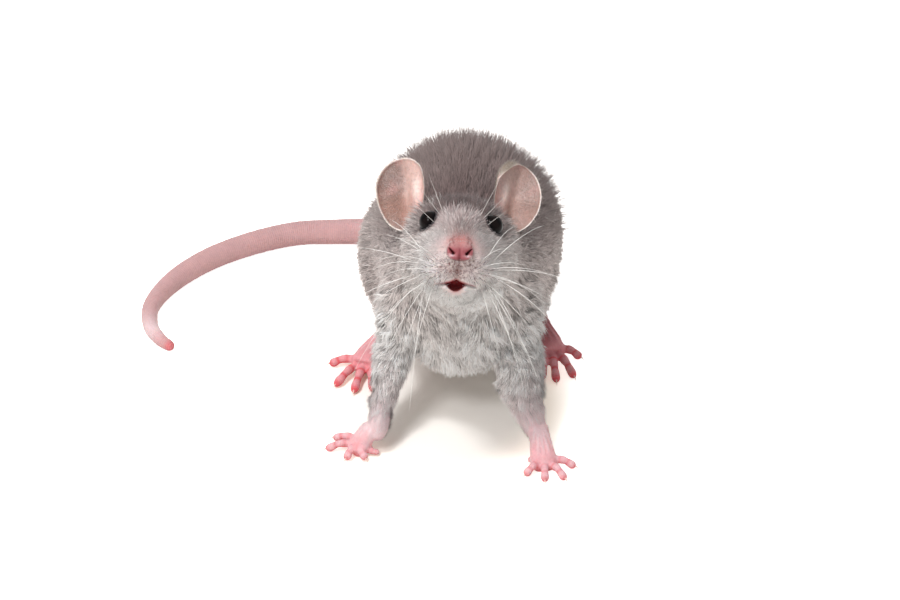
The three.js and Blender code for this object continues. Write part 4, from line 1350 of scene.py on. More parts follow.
def hair_tones(roots, count, seed, white, root_shade, tones):
    """Colours at root, middle and tip: the marking, darker at the root and lighter at the tip, with some
    white hairs strewn in. Raised locks are lighter and the partings between them darker, as painted light and
    shade. The face varies most from strand to strand."""
    local = np.random.default_rng(seed)
    base = at_roots(tones, roots)
    lock = ripple(at_roots(skin_points, roots), 3.2, 31)[0]
    strand = ripple(at_roots(STRAND, roots), 0.75, 32)[0]
    contrast = 1 + at_roots(0.9 * on_face + 1.0 * on_lips, roots)
    # Painted light on raised locks, and painted shade where they part.
    lock_light_and_shade = (0.2 + 0.28 * at_roots(swirl, roots)) * lock
    each = 1 + contrast * (0.16 * local.normal(size=count) + 0.3 * strand) + lock_light_and_shade
    each = np.clip(each, 0.3, 1.7)
    pale = (local.uniform(0, 1, count) < white)[:, None] * local.uniform(0.35, 0.85, (count, 1))
    tip = base * each[:, None] * 1.14
    tip = tip + (TONES["cream"] - tip) * pale
    middle = base * each[:, None] * 0.94
    middle = middle + (TONES["cream"] - middle) * pale * 0.7
    return base * at_roots(root_shade, roots)[:, None], middle, tip


def coat_of(density, seed, bent, length, wide, height, white, root_shade, pull, suffix="", tones=coat_tone):
    """Grows the spikes of one kind of hair and returns its pieces. The height that the tip reaches
    over the skin sets the lift: its sine is height over length. A bent spike leaves the skin
    steeper and then lies down."""
    local = np.random.default_rng(seed)
    roots = seed_roots(density, seed)
    count = len(roots[1])
    start, normal = at_roots(skin_points, roots), unit(at_roots(skin_normals, roots))
    away = unit(flat_on(normal, at_roots(lay, roots)))
    turn = (0.22 - 0.08 * at_roots(on_face, roots)) * local.normal(size=count)
    away = away * np.cos(turn)[:, None] + np.cross(normal, away) * np.sin(turn)[:, None]
    reach = at_roots(length, roots) * local.uniform(0.72, 1.18, count)
    lock, slope = ripple(start, 3.2, 31)
    slope, pull = flat_on(normal, slope), at_roots(pull, roots)
    raised = at_roots(height, roots) * local.uniform(0.55, 1.3, count) * (1 + 0.5 * pull * lock)
    lift = np.arcsin(np.clip(raised / reach, 0.05, 0.85))
    half = at_roots(wide, roots) / 2 * local.uniform(0.75, 1.25, count)
    start = start - normal * 0.12

    def onward(point, lift, part, swept):
        """The end of a part of the hair, lifted off the skin and swept towards its lock's tip."""
        way = away * np.cos(lift)[:, None] + normal * np.sin(lift)[:, None]
        return point + way * (reach * part)[:, None] + slope * (pull * reach * swept)[:, None]

    if bent:
        middle = onward(start, lift + 0.3, 0.5, 0.3)
        path, widths = [start, middle, onward(middle, lift - 0.26, 0.5, 0.7)], [half, half * 0.8]
    else:
        path, widths = [start, onward(start, lift, 1.0, 0.6)], [half]
    for p in path:
        p[:, 2] = np.maximum(p[:, 2], 0.05)
    colours = hair_tones(roots, count, seed + 1, at_roots(white, roots), root_shade, tones)
    if not bent:
        colours = colours[::2]  # root and tip
    piece, chart = piece_and_chart(roots[0])
    made = []
    for name in np.unique(piece):
        mine = piece == name
        made.append(spikes(
            str(name) + suffix, [p[mine] for p in path], [w[mine] for w in widths],
            [c[mine] for c in colours], chart[mine], normal[mine],
        ))
    return made


# %% [markdown]
# ## Long coat
#
# Long bent tufts make all of the thick fur, longer and higher where the coat is deeper. They are
# swept into locks most where the fur swirls, on the chest. Along the top of the back they lie
# lower, and leave the outline to slim hairs that stand up.

# %% Long coat
thick = step(0.75, 1.15, coat_depth)
pale_below = step(-0.2, -0.7, up) * ON_BODY
white_hairs = 0.05 * step(0.5, 0.0, up) + 0.25 * on_face * step(7.0, 5.0, rise)
white_hairs += 0.12 * step(0.1, -0.4, up)
standing = step(0.0, 0.6, up) * step(AT["breast"], AT["loins"], body_t)
standing *= step(AT["tail root"], AT["hips"], body_t)
standing *= ON_BODY
long_coat = coat_of(
    density=6.1 * thick * (1 - bare), seed=101, bent=True,
    length=(1.2 + 2.15 * coat_depth) * (1 - 0.2 * swirl - 0.15 * standing),
    wide=0.11 + 0.085 * coat_depth,
    height=coat_depth * (0.95 + 0.3 * swirl - 0.2 * standing),
    white=white_hairs,
    # Roots darker where the chest fur swirls: painted shade in the gaps between locks.
    root_shade=0.42 + 0.4 * pale_below - 0.16 * swirl,
    pull=0.28 + 1.0 * swirl + 0.35 * standing,
)
print("long coat:", len(long_coat), "pieces")

# %% [markdown]
# ## Short coat
#
# Short straight hairs cover the face and the legs. They shrink towards the eyes and thin out down
# the legs, until only a few pale ones are left on the feet and the tail.

# %% Short coat
def sparse(name, t, angle):
    """How much of the short hair is missing: more and more down a forearm or shank, and nearly all
    of it on the feet, toes and tail."""
    if name == "body" or name.startswith(("upper_arm", "thigh")):
        return 0 * t
    if name.startswith(("forearm", "shank")):
        return 0.72 * step(0.4, 0.95, t)
    if name == "tail" or "toe" in name:
        return 0 * t + 0.94
    return 0.72 + 0.18 * step(0.0, 0.7, t)


thin_hair = shared(sparse)
furry = (1 - bare) * (1 - thin_hair)
rings_of_eyes = [eye_ring(skin_points, side) for side in SIDES]
near_eye = np.minimum(*[ring + 50 * (depth < -1) for ring, depth in rings_of_eyes])
on_feet = thin_hair * (1 - on_toes) * (1 - on_tail)
where_short = 1 - step(0.95, 1.3, coat_depth)
short_coat = coat_of(
    density=20 * where_short * (1 - 0.55 * on_lips) * furry * step(3.3, 4.0, near_eye),
    seed=202, bent=False,
    length=(0.9 + 0.7 * on_feet + 2.2 * coat_depth) * (0.35 + 0.65 * step(3.2, 7.0, near_eye)),
    wide=0.09 + 0.04 * on_feet + 0.05 * coat_depth,
    height=0.16 + 0.85 * coat_depth * step(3.2, 7.5, near_eye),
    white=white_hairs + 0.6 * thin_hair,
    root_shade=np.minimum(0.55 + 0.6 * thin_hair + 0.15 * pale_below, 1),
    pull=0.16 + 0.6 * swirl * (1 - on_face), suffix="_short",
)
print("short coat:", len(short_coat), "pieces")

# %% [markdown]
# ## Guard hairs, tips and bristles
#
# Guard hairs are few, slim and longer than the rest, and they are lifted off it. They make the pale
# streaks of the face and the tousled cap on its crown, and stand up most on the brow and in a
# fringe before each ear. Slim tips stand up along the back. Short bristles, some dark red and some
# white, grow round the groove of the lip.

# %% Guard hairs, tips and bristles
def everywhere(value):
    """The same value at every point of the skin."""
    return np.full(len(skin_points), float(value))


crest = bump_at(PLACE, (0, 0.5, 9.5), (8.0, 4.5, 2.5)) * ON_BODY
fringe = bump_at((np.abs(x), along, rise), (10.6, -5.0, 6.4), (2.6, 3.2, 2.8)) * ON_BODY
cap = on_face * step(4.5, 7.5, rise) * step(10.0, 6.0, along) * (1 - fringe)
face_guard = on_face * step(20.0, 15.0, along) * step(4.2, 7.0, near_eye)
face_guard *= step(8.0, 5.5, rise - 3 * fringe)
guard_density = 0.4 * thick * step(0.3, -0.2, up) + 4.5 * cap
guard_density += (3.0 + 1.0 * crest + 9.0 * fringe) * face_guard
shorter_ahead = 1 - 0.55 * step(11, 18, along)
guard_coat = coat_of(
    density=guard_density * (1 - bare), seed=303, bent=True,
    length=(1.4 + 2.2 * coat_depth + 0.6 * crest + 3.2 * fringe) * shorter_ahead,
    wide=0.07 + 0.03 * coat_depth + 0.06 * face_guard,
    height=(0.4 + 1.1 * coat_depth + 0.6 * crest + 3.0 * fringe) * shorter_ahead,
    white=0.6 * face_guard, root_shade=everywhere(0.6), pull=everywhere(0.4), suffix="_guard",
)
tips = coat_of(
    density=2.8 * standing, seed=505, bent=False, length=2.0 + 2.1 * coat_depth,
    wide=0.15 + 0.04 * coat_depth, height=2.3 * coat_depth,
    white=everywhere(0), root_shade=everywhere(0.85), pull=everywhere(0.7), suffix="_tip",
)
bristles = coat_of(
    density=10 * on_lips * (1 - bare) * (1 - on_pad), seed=404, bent=False,
    length=everywhere(0.7), wide=everywhere(0.15), height=everywhere(0.4), white=everywhere(0.4),
    root_shade=everywhere(1), pull=everywhere(0), suffix="_bristle",
    tones=np.repeat(TONES["dot"][None], len(skin_points), 0),
)
coat = long_coat + short_coat + guard_coat + tips + bristles
for piece in coat:
    print(piece.name, len(piece.data.polygons))
print("coat triangles:", sum(len(piece.data.polygons) for piece in coat))

# %% [markdown]
# ## The coat's finish
#
# Hair is drier than skin, and fine fur catches light that grazes it. A little sheen gives that soft
# edge. The colour is read from the tufts' own points, where it runs from root to tip.

# %% Coat material
coat_finish, *_ = new_material(
    "coat", "tuft_tone", size=0.35, contrast=0.2, roughness=0.6, bump=0.02,
    Specular_IOR_Level=0.3, Sheen_Weight=0.12, Sheen_Roughness=0.5,
)
for piece in coat:
    piece.data.materials.append(coat_finish)
print("coat pieces:", len(coat))

# %% [markdown]
# ## Eyes
#
# A rat's eye is a shiny black ball that bulges out of its lids. The ball is a sphere of revolution
# round the way it looks: a profile turned round the axis, with the clear cornea as a slight swell
# at the front. Its colour is nearly black, with a faint brown iris that only a close look shows.
# The cornea mirrors weakly, so that the eye stays black below the pale sky and keeps one glint.

# %% Eyes
def eye_surface(side, polar, angle):
    """A sphere, swollen by up to 6 percent within 35 degrees of its axis."""
    axis = EYE_AXIS[side]
    first = unit(np.cross(axis, CROWN))
    second = np.cross(axis, first)
    radius = EYE_RADIUS * (1 + 0.06 * np.exp(-((polar / 0.6) ** 2)))
    round_it = np.sin(polar)[:, None] * (np.cos(angle)[:, None] * first + np.sin(angle)[:, None] * second)
    return EYE_CENTRE[side] + radius[:, None] * (np.cos(polar)[:, None] * axis - round_it)


BLACK, BROWN = tone(6, 4, 5), tone(20, 13, 12)
eye_finish, *_ = new_material(
    "eye", "iris", size=0.3, contrast=0.5, roughness=0.03, bump=0.0, IOR=1.15, Specular_IOR_Level=0.5,
)
eyes = []
for side in SIDES:
    turned = loft(lambda t, a, side=side: eye_surface(side, np.pi * t, a), 46, 64)
    ball = mesh_object(f"eyeball_{side}", [turned])
    ring, depth = eye_ring(points_of(ball.data), side)
    iris = step(0.9, 1.3, ring) * step(2.5, 2.0, ring) * (depth > 0)
    set_colour(ball.data, "iris", BLACK + iris[:, None] * (BROWN - BLACK))
    ball.data.materials.append(eye_finish)
    eyes.append(ball)
print("eyeballs:", [e.name for e in eyes])

# %% [markdown]
# ## Ears
#
# A dumbo rat's ear is a thin round shell of skin on a narrow stem, cupped forward, with a rolled
# rim and soft folds that run up out of its bowl. One closed grid makes both faces: it runs from
# the middle of the bowl out to the rim and back behind it to the middle of the back.

# %% Ears
# Place of the stem on the head, distance of the disc's middle from it, depth of the bowl and
# thickness of the wall in mm, and three angles in degrees.
EAR = dict(
    half=dict(left=13.0, right=14.2), along=-9.8, rise=dict(left=2.1, right=1.3),
    middle=9.4, cup=4.9, thickness=0.62, turn_out=28, lean_back=17, lean_out=3,
)
# How far the rim lies from the ear's middle, at twelve even angles: from its outer side up and round.
OUTLINE = {
    "left": [6.0, 6.7, 8.4, 9.4, 9.1, 8.4, 7.7, 7.9, 8.0, 9.0, 8.1, 6.8],
    "right": [7.1, 8.4, 9.9, 9.8, 8.5, 7.4, 7.1, 7.1, 7.4, 9.2, 9.0, 7.6],
}
FOLD_OVER = {"left": 1.0, "right": 0.0}  # how far the inner upper rim has rolled over
# Soft forms of the bowl: height, then place across and up the ear, then size both ways.
FORMS = [
    (0.75, -2.9, 9.8, 1.2, 3.3),  # the ridge towards the inner side
    (-0.6, 0.4, 8.6, 1.0, 4.4),  # the valley next to it
    (-0.4, -5.2, 11.4, 1.0, 2.8),  # the hollow behind the inner rim
    (-1.2, 0.3, 3.8, 1.6, 2.5),  # the mouth of the ear
    (0.4, 4.2, 10.0, 1.3, 3.8),  # the outer swell
]


def ear_directions(side):
    """The ear's outward, stem and facing directions, in the head's own x, along and rise."""
    turn, lean, tilt = (np.radians(EAR[k]) for k in ("turn_out", "lean_back", "lean_out"))
    sign = SIDES[side]
    face = np.array([sign * np.sin(turn), np.cos(turn), 0])
    stem = unit(np.array([sign * np.sin(tilt), -np.sin(lean), np.cos(lean)]))
    outward = unit(np.cross(face, stem) * sign)
    return outward, stem, unit(np.cross(stem, outward) * sign)


def round_the_rim(values, angle):
    """Values at even angles round a closed line, joined by the cubic of the smooth tables."""
    at = np.mod(angle, 2 * np.pi) / (2 * np.pi) * len(values)
    i = at.astype(int)
    f = at - i
    a, b, c, d = (np.array(values)[(i + k) % len(values)] for k in (-1, 0, 1, 2))
    return b + 0.5 * f * (c - a + f * (2 * a - 5 * b + 4 * c - d + f * (3 * (b - c) + d - a)))


def rolled(side, angle):
    """1 where the rim is rolled over, on the inner upper part, and 0 round the rest of it."""
    return FOLD_OVER[side] * np.exp(-(((np.mod(angle, 2 * np.pi) - 2.15) / 0.62) ** 2))


def ear_flat(side, polar, angle):
    """Reach (0 in the bowl, 1 on the rim), and the place across and up the ear's disc. A rolled rim
    runs out a little past its reach and comes back in."""
    reach = np.sin(polar)
    over_rim = rolled(side, angle)
    radius = round_the_rim(OUTLINE[side], angle) * reach * (1 + 0.08 * over_rim)
    radius -= 2.3 * over_rim * step(0.93, 1.0, reach)
    return reach, radius * np.cos(angle), EAR["middle"] + radius * np.sin(angle)


def ear_surface(side, polar, angle):
    """The bowl deepens with the square of what is left to the rim, the wall is thinnest at the rim,
    soft forms rise and sink in it, and a rolled rim stands forward before it turns in."""
    reach, across, up_it = ear_flat(side, polar, angle)
    front, c, low = np.cos(polar), np.cos(angle), (0.5 - 0.5 * np.sin(angle)) ** 2
    bowl = EAR["cup"] * (0.9 * reach**2 * (0.35 + 0.65 * c * c) - 0.35 - 0.3 * low * reach)
    over_rim = rolled(side, angle)
    wall = EAR["thickness"] / 2 * front * (0.55 + 0.45 * np.abs(front))
    wall *= 1 - 2 * over_rim * step(0.9, 0.97, reach)
    rim = 0.3 * step(0.9, 1.0, reach) * step(-0.9, -0.3, np.sin(angle))
    forms = sum(high * bump_at((across, up_it), (a, u), (w, t)) for high, a, u, w, t in FORMS)
    away = bowl + wall + rim + forms * step(1.0, 0.75, reach) + 1.5 * over_rim * step(0.82, 0.96, reach)
    outward, stem, face = ear_directions(side)
    local = across[:, None] * outward + up_it[:, None] * stem + away[:, None] * face
    start = (SIDES[side] * EAR["half"][side], EAR["along"], EAR["rise"][side])
    return on_head(*(start[k] + local[:, k] for k in range(3)))


print("the left ear's stem leans by", ear_directions("left")[1].round(2))

# %% [markdown]
# ## Colours and hairs of the ears
#
# Light shines through a thin ear, so it is the warmest part of the animal: pink over the ridge, with painted
# highlights on it, warm brown in the folds, partly as painted shade, and pale along the rim. Very short hairs
# cover the back of the ear and its outer half, and edge its rim.

# %% Colours and hairs of the ears
# light is the tone of the painted highlights on the ridge, and deep is partly painted shade.
EAR_TONES = dict(
    inner=tone(204, 170, 161), outer=tone(116, 88, 80), deep=tone(176, 132, 116), pink=tone(220, 160, 155),
    light=tone(250, 228, 220), rim=tone(252, 236, 229), back=tone(158, 144, 126), hair=tone(238, 226, 216),
)
# Painted shade: the left ear and the tips of its hairs are darker, as it turns from the light.
EAR_LEVEL = {"left": 0.8, "right": 1.0}  # the left ear is a little darker
OUTER_SHADE = {"left": 0.4, "right": 0.95}  # and its outer half nearly as light as its inner one
ear_finish, *_ = new_material(
    "ear_skin", "ear_tone", size=0.9, contrast=0.55, roughness=0.4, bump=0.08, Subsurface_Weight=0.15,
    Subsurface_Radius=(1.0, 0.35, 0.2), Subsurface_Scale=0.5 * MM, Specular_IOR_Level=0.5,
)


def ear_shade(side, polar, angle, points):
    """The ear's tones: brownish on the outer half, pink on the ridge with painted highlights on it, warm
    brown in the valley and at the ear's mouth, partly as painted shade, pale on the rim and grey behind."""
    reach, across, up_it = ear_flat(side, polar, angle)
    shade = np.repeat(EAR_TONES["inner"][None], len(reach), 0)

    def lay_on(name, mask):
        """Adds a tone as far as its mask says."""
        shade[:] += (EAR_TONES[name] - shade) * np.clip(mask, 0, 1)[:, None]

    lay_on("outer", OUTER_SHADE[side] * step(-0.8, 2.8, across + 0.8 * ripple(points, 3.0, 41)[0]))
    lay_on("pink", 0.75 * bump_at((across, up_it), (-3.6, 8.0), (2.1, 3.6)))
    lay_on("pink", 0.25 * step(-0.1, 0.8, ripple(points, 4.0, 42)[0]))
    # Warm brown in the valley and low on the outer wall, partly painted shade.
    lay_on("deep", 0.6 * bump_at((across, up_it), (0.7, 5.6), (1.3, 3.4)))
    lay_on("deep", 0.5 * bump_at((across, up_it), (4.5, 5.5), (2.2, 3.0)))
    # Painted highlights on the ridge.
    lay_on("light", 0.45 * bump_at((across, up_it), (-3.0, 10.0), (1.6, 4.0)))
    lay_on("light", 0.75 * bump_at((across, up_it), (-2.7, 11.2), (0.9, 1.3)))
    lay_on("light", 0.6 * bump_at((across, up_it), (-3.0, 8.6), (0.8, 1.0)))
    spokes = ripple(np.stack([9 * np.cos(angle), 9 * np.sin(angle), 3 * reach], 1), 2.0, 43)[0]
    lay_on("deep", 0.22 * np.clip(spokes, 0, 1) * step(0.3, 0.6, reach) * step(0.97, 0.8, reach))
    lay_on("back", 0.9 * (np.cos(polar) < 0))
    # Painted shade on the left ear.
    shade *= EAR_LEVEL[side]
    lay_on("rim", step(0.95, 0.985, reach) * (1 - 0.95 * rolled(side, angle)))
    return shade


def ear_shell(side):
    """The shell's mesh, and for each of its points the polar angle and the angle round the ear."""
    grid = []

    def surface(t, angle):
        """The ear's surface, where t runs from the bowl's middle over the rim to the back's."""
        grid.append((t, angle))
        return ear_surface(side, np.pi * t, angle)

    shell = mesh_object(f"ear_shell_{side}", [loft(surface, 100, 132)])
    t, around = grid[0]
    polar = np.pi * np.concatenate([[0.0, 1.0], t])
    angle = np.concatenate([[0.0, 0.0], around])
    set_colour(shell.data, "ear_tone", ear_shade(side, polar, angle, points_of(shell.data)))
    shell.data.materials.append(ear_finish)
    return shell, polar, angle


def hairs_on_ear(side, number, shell, polar, angle):
    """Short straight spikes, thickest behind, on the outer half and along the rim."""
    surface, local = surface_of(shell.data), np.random.default_rng(500 + number)
    reach, across, up_it = ear_flat(side, polar, angle)
    inside = 1.1 + 3.4 * step(0.0, 4.0, across)
    hairy = np.where(np.cos(polar) < 0, 6.0 + 8.0 * rolled(side, angle), inside)
    hairy = hairy + 1.5 * step(0.9, 0.99, reach)
    roots = seed_roots(hairy * step(-0.2, 1.5, up_it), 510 + number, surface)
    start, normal = at_roots(surface["points"], roots), unit(at_roots(surface["normals"], roots))
    heading = unit(flat_on(normal, at_roots(surface["points"] - surface["points"][0], roots)))
    heading = unit(heading + 0.5 * local.normal(size=heading.shape))
    length = local.uniform(0.6, 1.5, (len(start), 1))
    tip = start + length * (flat_on(normal, heading) + 0.35 * normal)
    base = at_roots(ear_shade(side, polar, angle, surface["points"]), roots)
    # The left ear's hairs share its painted shade.
    pale = EAR_TONES["hair"] * EAR_LEVEL[side]
    tip_tone = base + (pale - base) * local.uniform(0.2, 1.0, (len(start), 1))
    chart = at_roots(np.stack([angle / (2 * np.pi), polar / np.pi], 1), roots)
    half = 0.042 * local.uniform(0.8, 1.3, len(start))
    root_tone = base * local.uniform(0.45, 0.9, (len(start), 1))
    path, tones = [start - 0.05 * normal, tip], [root_tone, tip_tone]
    made = spikes(f"ear_hair_{side}", path, [half], tones, chart, normal)
    made.data.materials.append(coat_finish)
    return made


ears, ear_hairs = [], []
for number, side in enumerate(SIDES, start=1):
    shell, polar, angle = ear_shell(side)
    ears.append(shell)
    ear_hairs.append(hairs_on_ear(side, number, shell, polar, angle))
print("ear shells:", [len(e.data.polygons) for e in ears])
print("hairs on them:", [len(e.data.polygons) // 4 for e in ear_hairs])

# %% [markdown]
# ## Whiskers
#
# Whiskers grow in five rows on each pad. The front ones are short and dark at the root, and the
# rear ones long, pale and swept out, back and a little down under their own weight. Each is a
# slim tapered tube carried along a parabola.

# %% Whiskers
def tubes(name, paths, radii, sides, tones):
    """Closed tubes: rings of points square to each path, with one end point at either side. paths
    is tubes x steps x 3, radii and tones hold a value for each step."""
    count, steps = paths.shape[:2]
    heading = unit(np.gradient(paths, axis=1))
    first = unit(np.cross(heading, np.array([0.31, 0.17, 0.93])))
    second = np.cross(heading, first)
    angle = 2 * np.pi * np.arange(sides) / sides
    ring = first[:, :, None] * np.cos(angle)[:, None] + second[:, :, None] * np.sin(angle)[:, None]
    points = paths[:, :, None] + ring * radii[:, :, None, None]
    quads, tris = grid_faces(steps, sides)
    quads, tris = quads[:, ::-1], tris[:, ::-1]
    parts, shades = [], []
    for i in range(count):
        ends = paths[i][[0, -1]]
        parts.append((np.vstack([ends, points[i].reshape(-1, 3)]), quads, tris))
        shades.append(np.vstack([tones[i][[0, -1]], np.repeat(tones[i], sides, axis=0)]))
    made = mesh_object(name, parts)
    set_colour(made.data, "horn_tone", np.vstack(shades))
    return made


def follicle_place(row, column):
    """Where a whisker grows, across and up the head: five rows that fan a little apart."""
    return 1.9 + 1.35 * column + 0.22 * row, -5.9 - 1.05 * row - (0.1 + 0.05 * row) * column


def skin_at(x_wanted, rise_wanted, sign):
    """The foremost skin point near a place across and up the head, and its normal."""
    gap = (PLACE[0] - sign * x_wanted) ** 2 + (PLACE[2] - rise_wanted) ** 2 + 100 * (PLACE[1] < 6)
    found = np.argmin(gap)
    return skin_points[found], skin_normals[found]


FOLLICLES = [(row, column) for row in range(5) for column in range(5)]
STEPS = np.linspace(0, 1, 18)
LONG_TONES = tone(112, 96, 92), tone(252, 250, 246)  # root and tip of the whiskers
SHORT_TONES = tone(84, 60, 60), tone(150, 136, 130)
whisker_paths, whisker_radii, whisker_tones = [], [], []
for side, sign in SIDES.items():
    for row, column in FOLLICLES:
        root, normal = skin_at(*follicle_place(row, column), sign)
        long = column > 1
        if long:
            length = 1.1 * (rng.uniform(13, 18) + 2.6 * (column - 2) + 1.5 * row)
        else:
            length = rng.uniform(2.2, 3.4) + 1.9 * column
        turn = np.radians(52 - 30 * row + 9 * rng.normal())
        aside = np.cos(turn) * sign * ACROSS + np.sin(turn) * CROWN
        start = unit(aside + (0.75 - 0.1 * column) * FORWARD)
        bend = -0.35 * FORWARD - np.array([0, 0, 0.2 + 0.2 * rng.uniform()]) - 0.1 * aside
        path = root - normal * 0.2 + length * (STEPS[:, None] * start + STEPS[:, None] ** 2 * bend)
        path[:, 2] = np.maximum(path[:, 2], 1.0)
        whisker_paths.append(path)
        whisker_radii.append((0.05 + 0.007 * column) * (1 - 0.7 * STEPS))
        dark, pale = LONG_TONES if long else SHORT_TONES
        whisker_tones.append(dark + step(0.02, 0.3 if long else 1.0, STEPS)[:, None] * (pale - dark))
    for k in range(3):  # brow hairs
        root, normal = skin_at(5.4 + 1.3 * k, 7.2 - 0.9 * k, sign)
        start = unit(0.6 * normal + 0.5 * CROWN + sign * (0.1 + 0.25 * k) * ACROSS)
        curve = STEPS[:, None] * start - STEPS[:, None] ** 2 * 0.55 * FORWARD
        whisker_paths.append(root - normal * 0.2 + (11 - 2.0 * k) * curve)
        whisker_radii.append(0.06 * (1 - 0.8 * STEPS))
        whisker_tones.append(np.repeat(tone(232, 226, 220)[None], len(STEPS), 0))
whiskers = tubes("whiskers", np.array(whisker_paths), np.array(whisker_radii), 5, np.array(whisker_tones))
horn_finish, *_ = new_material(
    "horn", "horn_tone", size=0.6, contrast=0.15, roughness=0.35, bump=0.01, Specular_IOR_Level=0.5,
)
whiskers.data.materials.append(horn_finish)
print("whiskers:", len(whisker_paths))

# %% [markdown]
# ## Claws
#
# Each toe but the thumbs ends in a small pale claw, which grows from the top of the tip and curves
# down to the floor. It is a tube along an arc that tapers to a point.

# %% Claws
CLAW_STEPS = np.linspace(0, 1, 9)
CLAW_TONES = tone(226, 150, 148), tone(238, 216, 200)  # root and tip
claw_paths, claw_radii = [], []
for name, (_, toes) in FOOT_LIMBS.items():
    for i, toe in enumerate(toes):
        if i == 0 and name.startswith("hand"):
            continue
        tip, before = track(toe["path"], np.array([1.0]))[0], track(toe["path"], np.array([0.8]))[0]
        ahead = unit((tip - before) * [1, 1, 0])
        f = CLAW_STEPS[:, None]
        claw_paths.append(tip - 0.55 * ahead + [0, 0, 0.5] + f * 1.55 * ahead - f**2 * np.array([0, 0, 0.85]))
        claw_radii.append(0.3 * (1 - 0.88 * CLAW_STEPS**1.2))
claw_tone = np.repeat(CLAW_STEPS[None, :, None], len(claw_paths), 0)
claw_tone = CLAW_TONES[0] + claw_tone * (CLAW_TONES[1] - CLAW_TONES[0])
claws = tubes("claws", np.array(claw_paths), np.array(claw_radii), 8, claw_tone)
claws.data.materials.append(horn_finish)
print("claws:", len(claw_paths))

# %% [markdown]
# ## Camera
#
# The camera looks down by thirty degrees from 60 cm away. The muzzle is raised by the same angle,
# so it points straight at the camera. A long lens keeps nose and rump in proportion.

# %% Camera
EYE_POINT, AIM_POINT = np.array([0.0, -519.6, 362.0]), np.array([-2.5, -7.75, 48.6])
camera_data = bpy.data.cameras.new("camera")
camera_data.lens, camera_data.sensor_width = 96.0, 36.0
camera_data.clip_start, camera_data.clip_end = 0.01, 20.0
camera = new_object("camera", camera_data)
eye_point, aim_point = (EYE_POINT + SHIFT) * MM, (AIM_POINT + SHIFT) * MM
camera.location = eye_point
camera.rotation_euler = Vector(aim_point - eye_point).to_track_quat("-Z", "Y").to_euler()
bpy.context.scene.camera = camera
print("camera at", eye_point.round(3), "m")

# %% [markdown]
# ## Light
#
# A plain white studio: an even pale sky and three lamps. A small bright one above the animal's
# right side gives the glint of the eyes and a crisp shadow. A large soft one next to it rounds the
# forms, and a third fills in from the front. What the sky shows to the camera is lifted by its
# Light Path, so the background is white without more light on the animal.

# %% Light
SKY = 0.45  # strength of the sky's light
LAMPS_AIM = [0, 30, 30]  # mm


def seen_directly(tree):
    """1 for what the camera sees, also in a mirror or through glass, and 0 for light that bounces
    on: the largest of three outputs of the Light Path."""
    path = tree.nodes.new("ShaderNodeLightPath")
    either = maths(tree, "MAXIMUM", path.outputs["Is Camera Ray"], path.outputs["Is Glossy Ray"])
    return maths(tree, "MAXIMUM", either, path.outputs["Is Transmission Ray"])


def lamp(name, place, size, power):
    """A square soft lamp at a place in mm, aimed at the animal. Size is in mm and power in watts."""
    data = bpy.data.lights.new(name, "AREA")
    data.size, data.energy = size * MM, power
    made = new_object(name, data)
    made.location = (np.array(place) + SHIFT) * MM
    ahead = Vector((SHIFT + LAMPS_AIM) * MM) - made.location
    made.rotation_euler = ahead.to_track_quat("-Z", "Y").to_euler()
    return made


bpy.context.scene.view_settings.view_transform = "Standard"
world = bpy.data.worlds.new("studio")
bpy.context.scene.world = world
world.use_nodes = True
tree = world.node_tree
sky = tree.nodes["Background"]
tree.links.new(maths(tree, "MULTIPLY_ADD", seen_directly(tree), 1.0 - SKY, SKY), sky.inputs["Strength"])
sky.inputs["Color"].default_value = (1.0, 1.0, 1.0, 1)
lamps = [
    lamp("key", [-230, -190, 820], 100, 2.8),
    lamp("key_soft", [-232, -192, 824], 330, 1.2),
    lamp("fill", [-300, -500, 720], 210, 2.6),
]
print("lamps:", [made.name for made in lamps])

# %% [markdown]
# ## Floor
#
# The floor is white too, and keeps the animal's shadow. Its Light Path lifts it to white for the
# camera, least inside an oval round the feet and fully some way outside it. Near the feet the lift
# is warm, like light that comes back from pink skin.

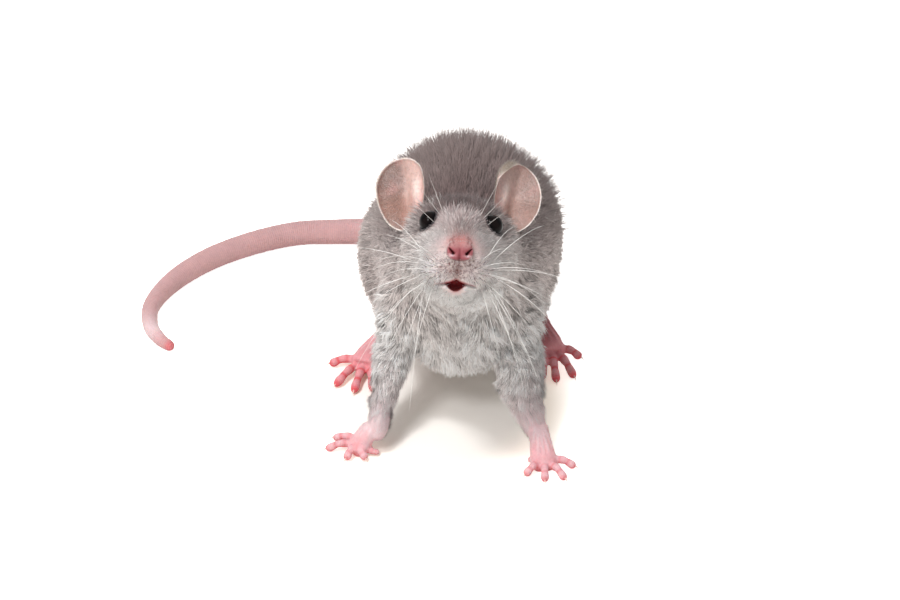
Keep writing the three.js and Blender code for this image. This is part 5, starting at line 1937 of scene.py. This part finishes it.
# %% Floor
SHADE_MIDDLE = [-4, 20]  # mm
SHADE_HALF = np.array([0.028, 0.036])  # half axes of the oval in metres
SHADE_LIFT = {"From Min": 0.7, "From Max": 1.45, "To Min": 0.07, "To Max": 0.95}  # ovals, strengths
bpy.ops.mesh.primitive_plane_add(size=6.0)
floor = bpy.context.object
floor.name = "floor"
floor_finish = bpy.data.materials.new("floor")
floor_finish.use_nodes = True
tree = floor_finish.node_tree
shader = tree.nodes["Principled BSDF"]
shader.inputs["Base Color"].default_value = (0.95, 0.92, 0.88, 1)
shader.inputs["Roughness"].default_value = 0.9
shader.inputs["Specular IOR Level"].default_value = 0.1
where, centred = tree.nodes.new("ShaderNodeTexCoord"), tree.nodes.new("ShaderNodeMapping")
centred.inputs["Location"].default_value = (*((-SHIFT[:2] - SHADE_MIDDLE) * MM / SHADE_HALF), 0)
centred.inputs["Scale"].default_value = (*(1 / SHADE_HALF), 1)
tree.links.new(where.outputs["Object"], centred.inputs["Vector"])
away = tree.nodes.new("ShaderNodeVectorMath")
away.operation = "LENGTH"
tree.links.new(centred.outputs["Vector"], away.inputs[0])
lift = tree.nodes.new("ShaderNodeMapRange")
lift.interpolation_type = "SMOOTHSTEP"
for socket, value in SHADE_LIFT.items():
    lift.inputs[socket].default_value = value
tree.links.new(away.outputs["Value"], lift.inputs["Value"])
strength = maths(tree, "MULTIPLY", seen_directly(tree), lift.outputs["Result"])
tree.links.new(strength, shader.inputs["Emission Strength"])
glow = tree.nodes.new("ShaderNodeMix")
glow.data_type = "RGBA"
warm, white = (socket for socket in glow.inputs if socket.name in "AB" and socket.type == "RGBA")
warm.default_value, white.default_value = (1.0, 0.75, 0.5, 1), (1.0, 1.0, 1.0, 1)
tree.links.new(lift.outputs["Result"], glow.inputs["Factor"])
glow_colour = next(socket for socket in glow.outputs if socket.type == "RGBA")
tree.links.new(glow_colour, shader.inputs["Emission Color"])
floor.data.materials.append(floor_finish)
print("floor:", len(tree.nodes), "nodes")

# %% [markdown]
# ## What the pieces stand for
#
# The model has no joints, so every piece rides on its one body. The skin takes the place of all the solids of
# flesh, and eyes and ears take the place of their own.

# %% What rides on what
FLESH = ["nose", "jaw", "head", "neck", "chest", "loins", "tail_base", "tail_middle", "tail_end"]
FLESH += [f"{n}_{s}" for s in SIDES for n in ("upper_arm", "forearm", "hand", "thigh", "shank", "foot")]
for piece in [skin, *coat, *eyes, *ears, *ear_hairs, whiskers, claws]:
    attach(piece, "root")
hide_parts(*FLESH)
for side, ball, shell in zip(SIDES, eyes, ears):
    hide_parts(f"eye_{side}")
    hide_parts(f"ear_{side}")
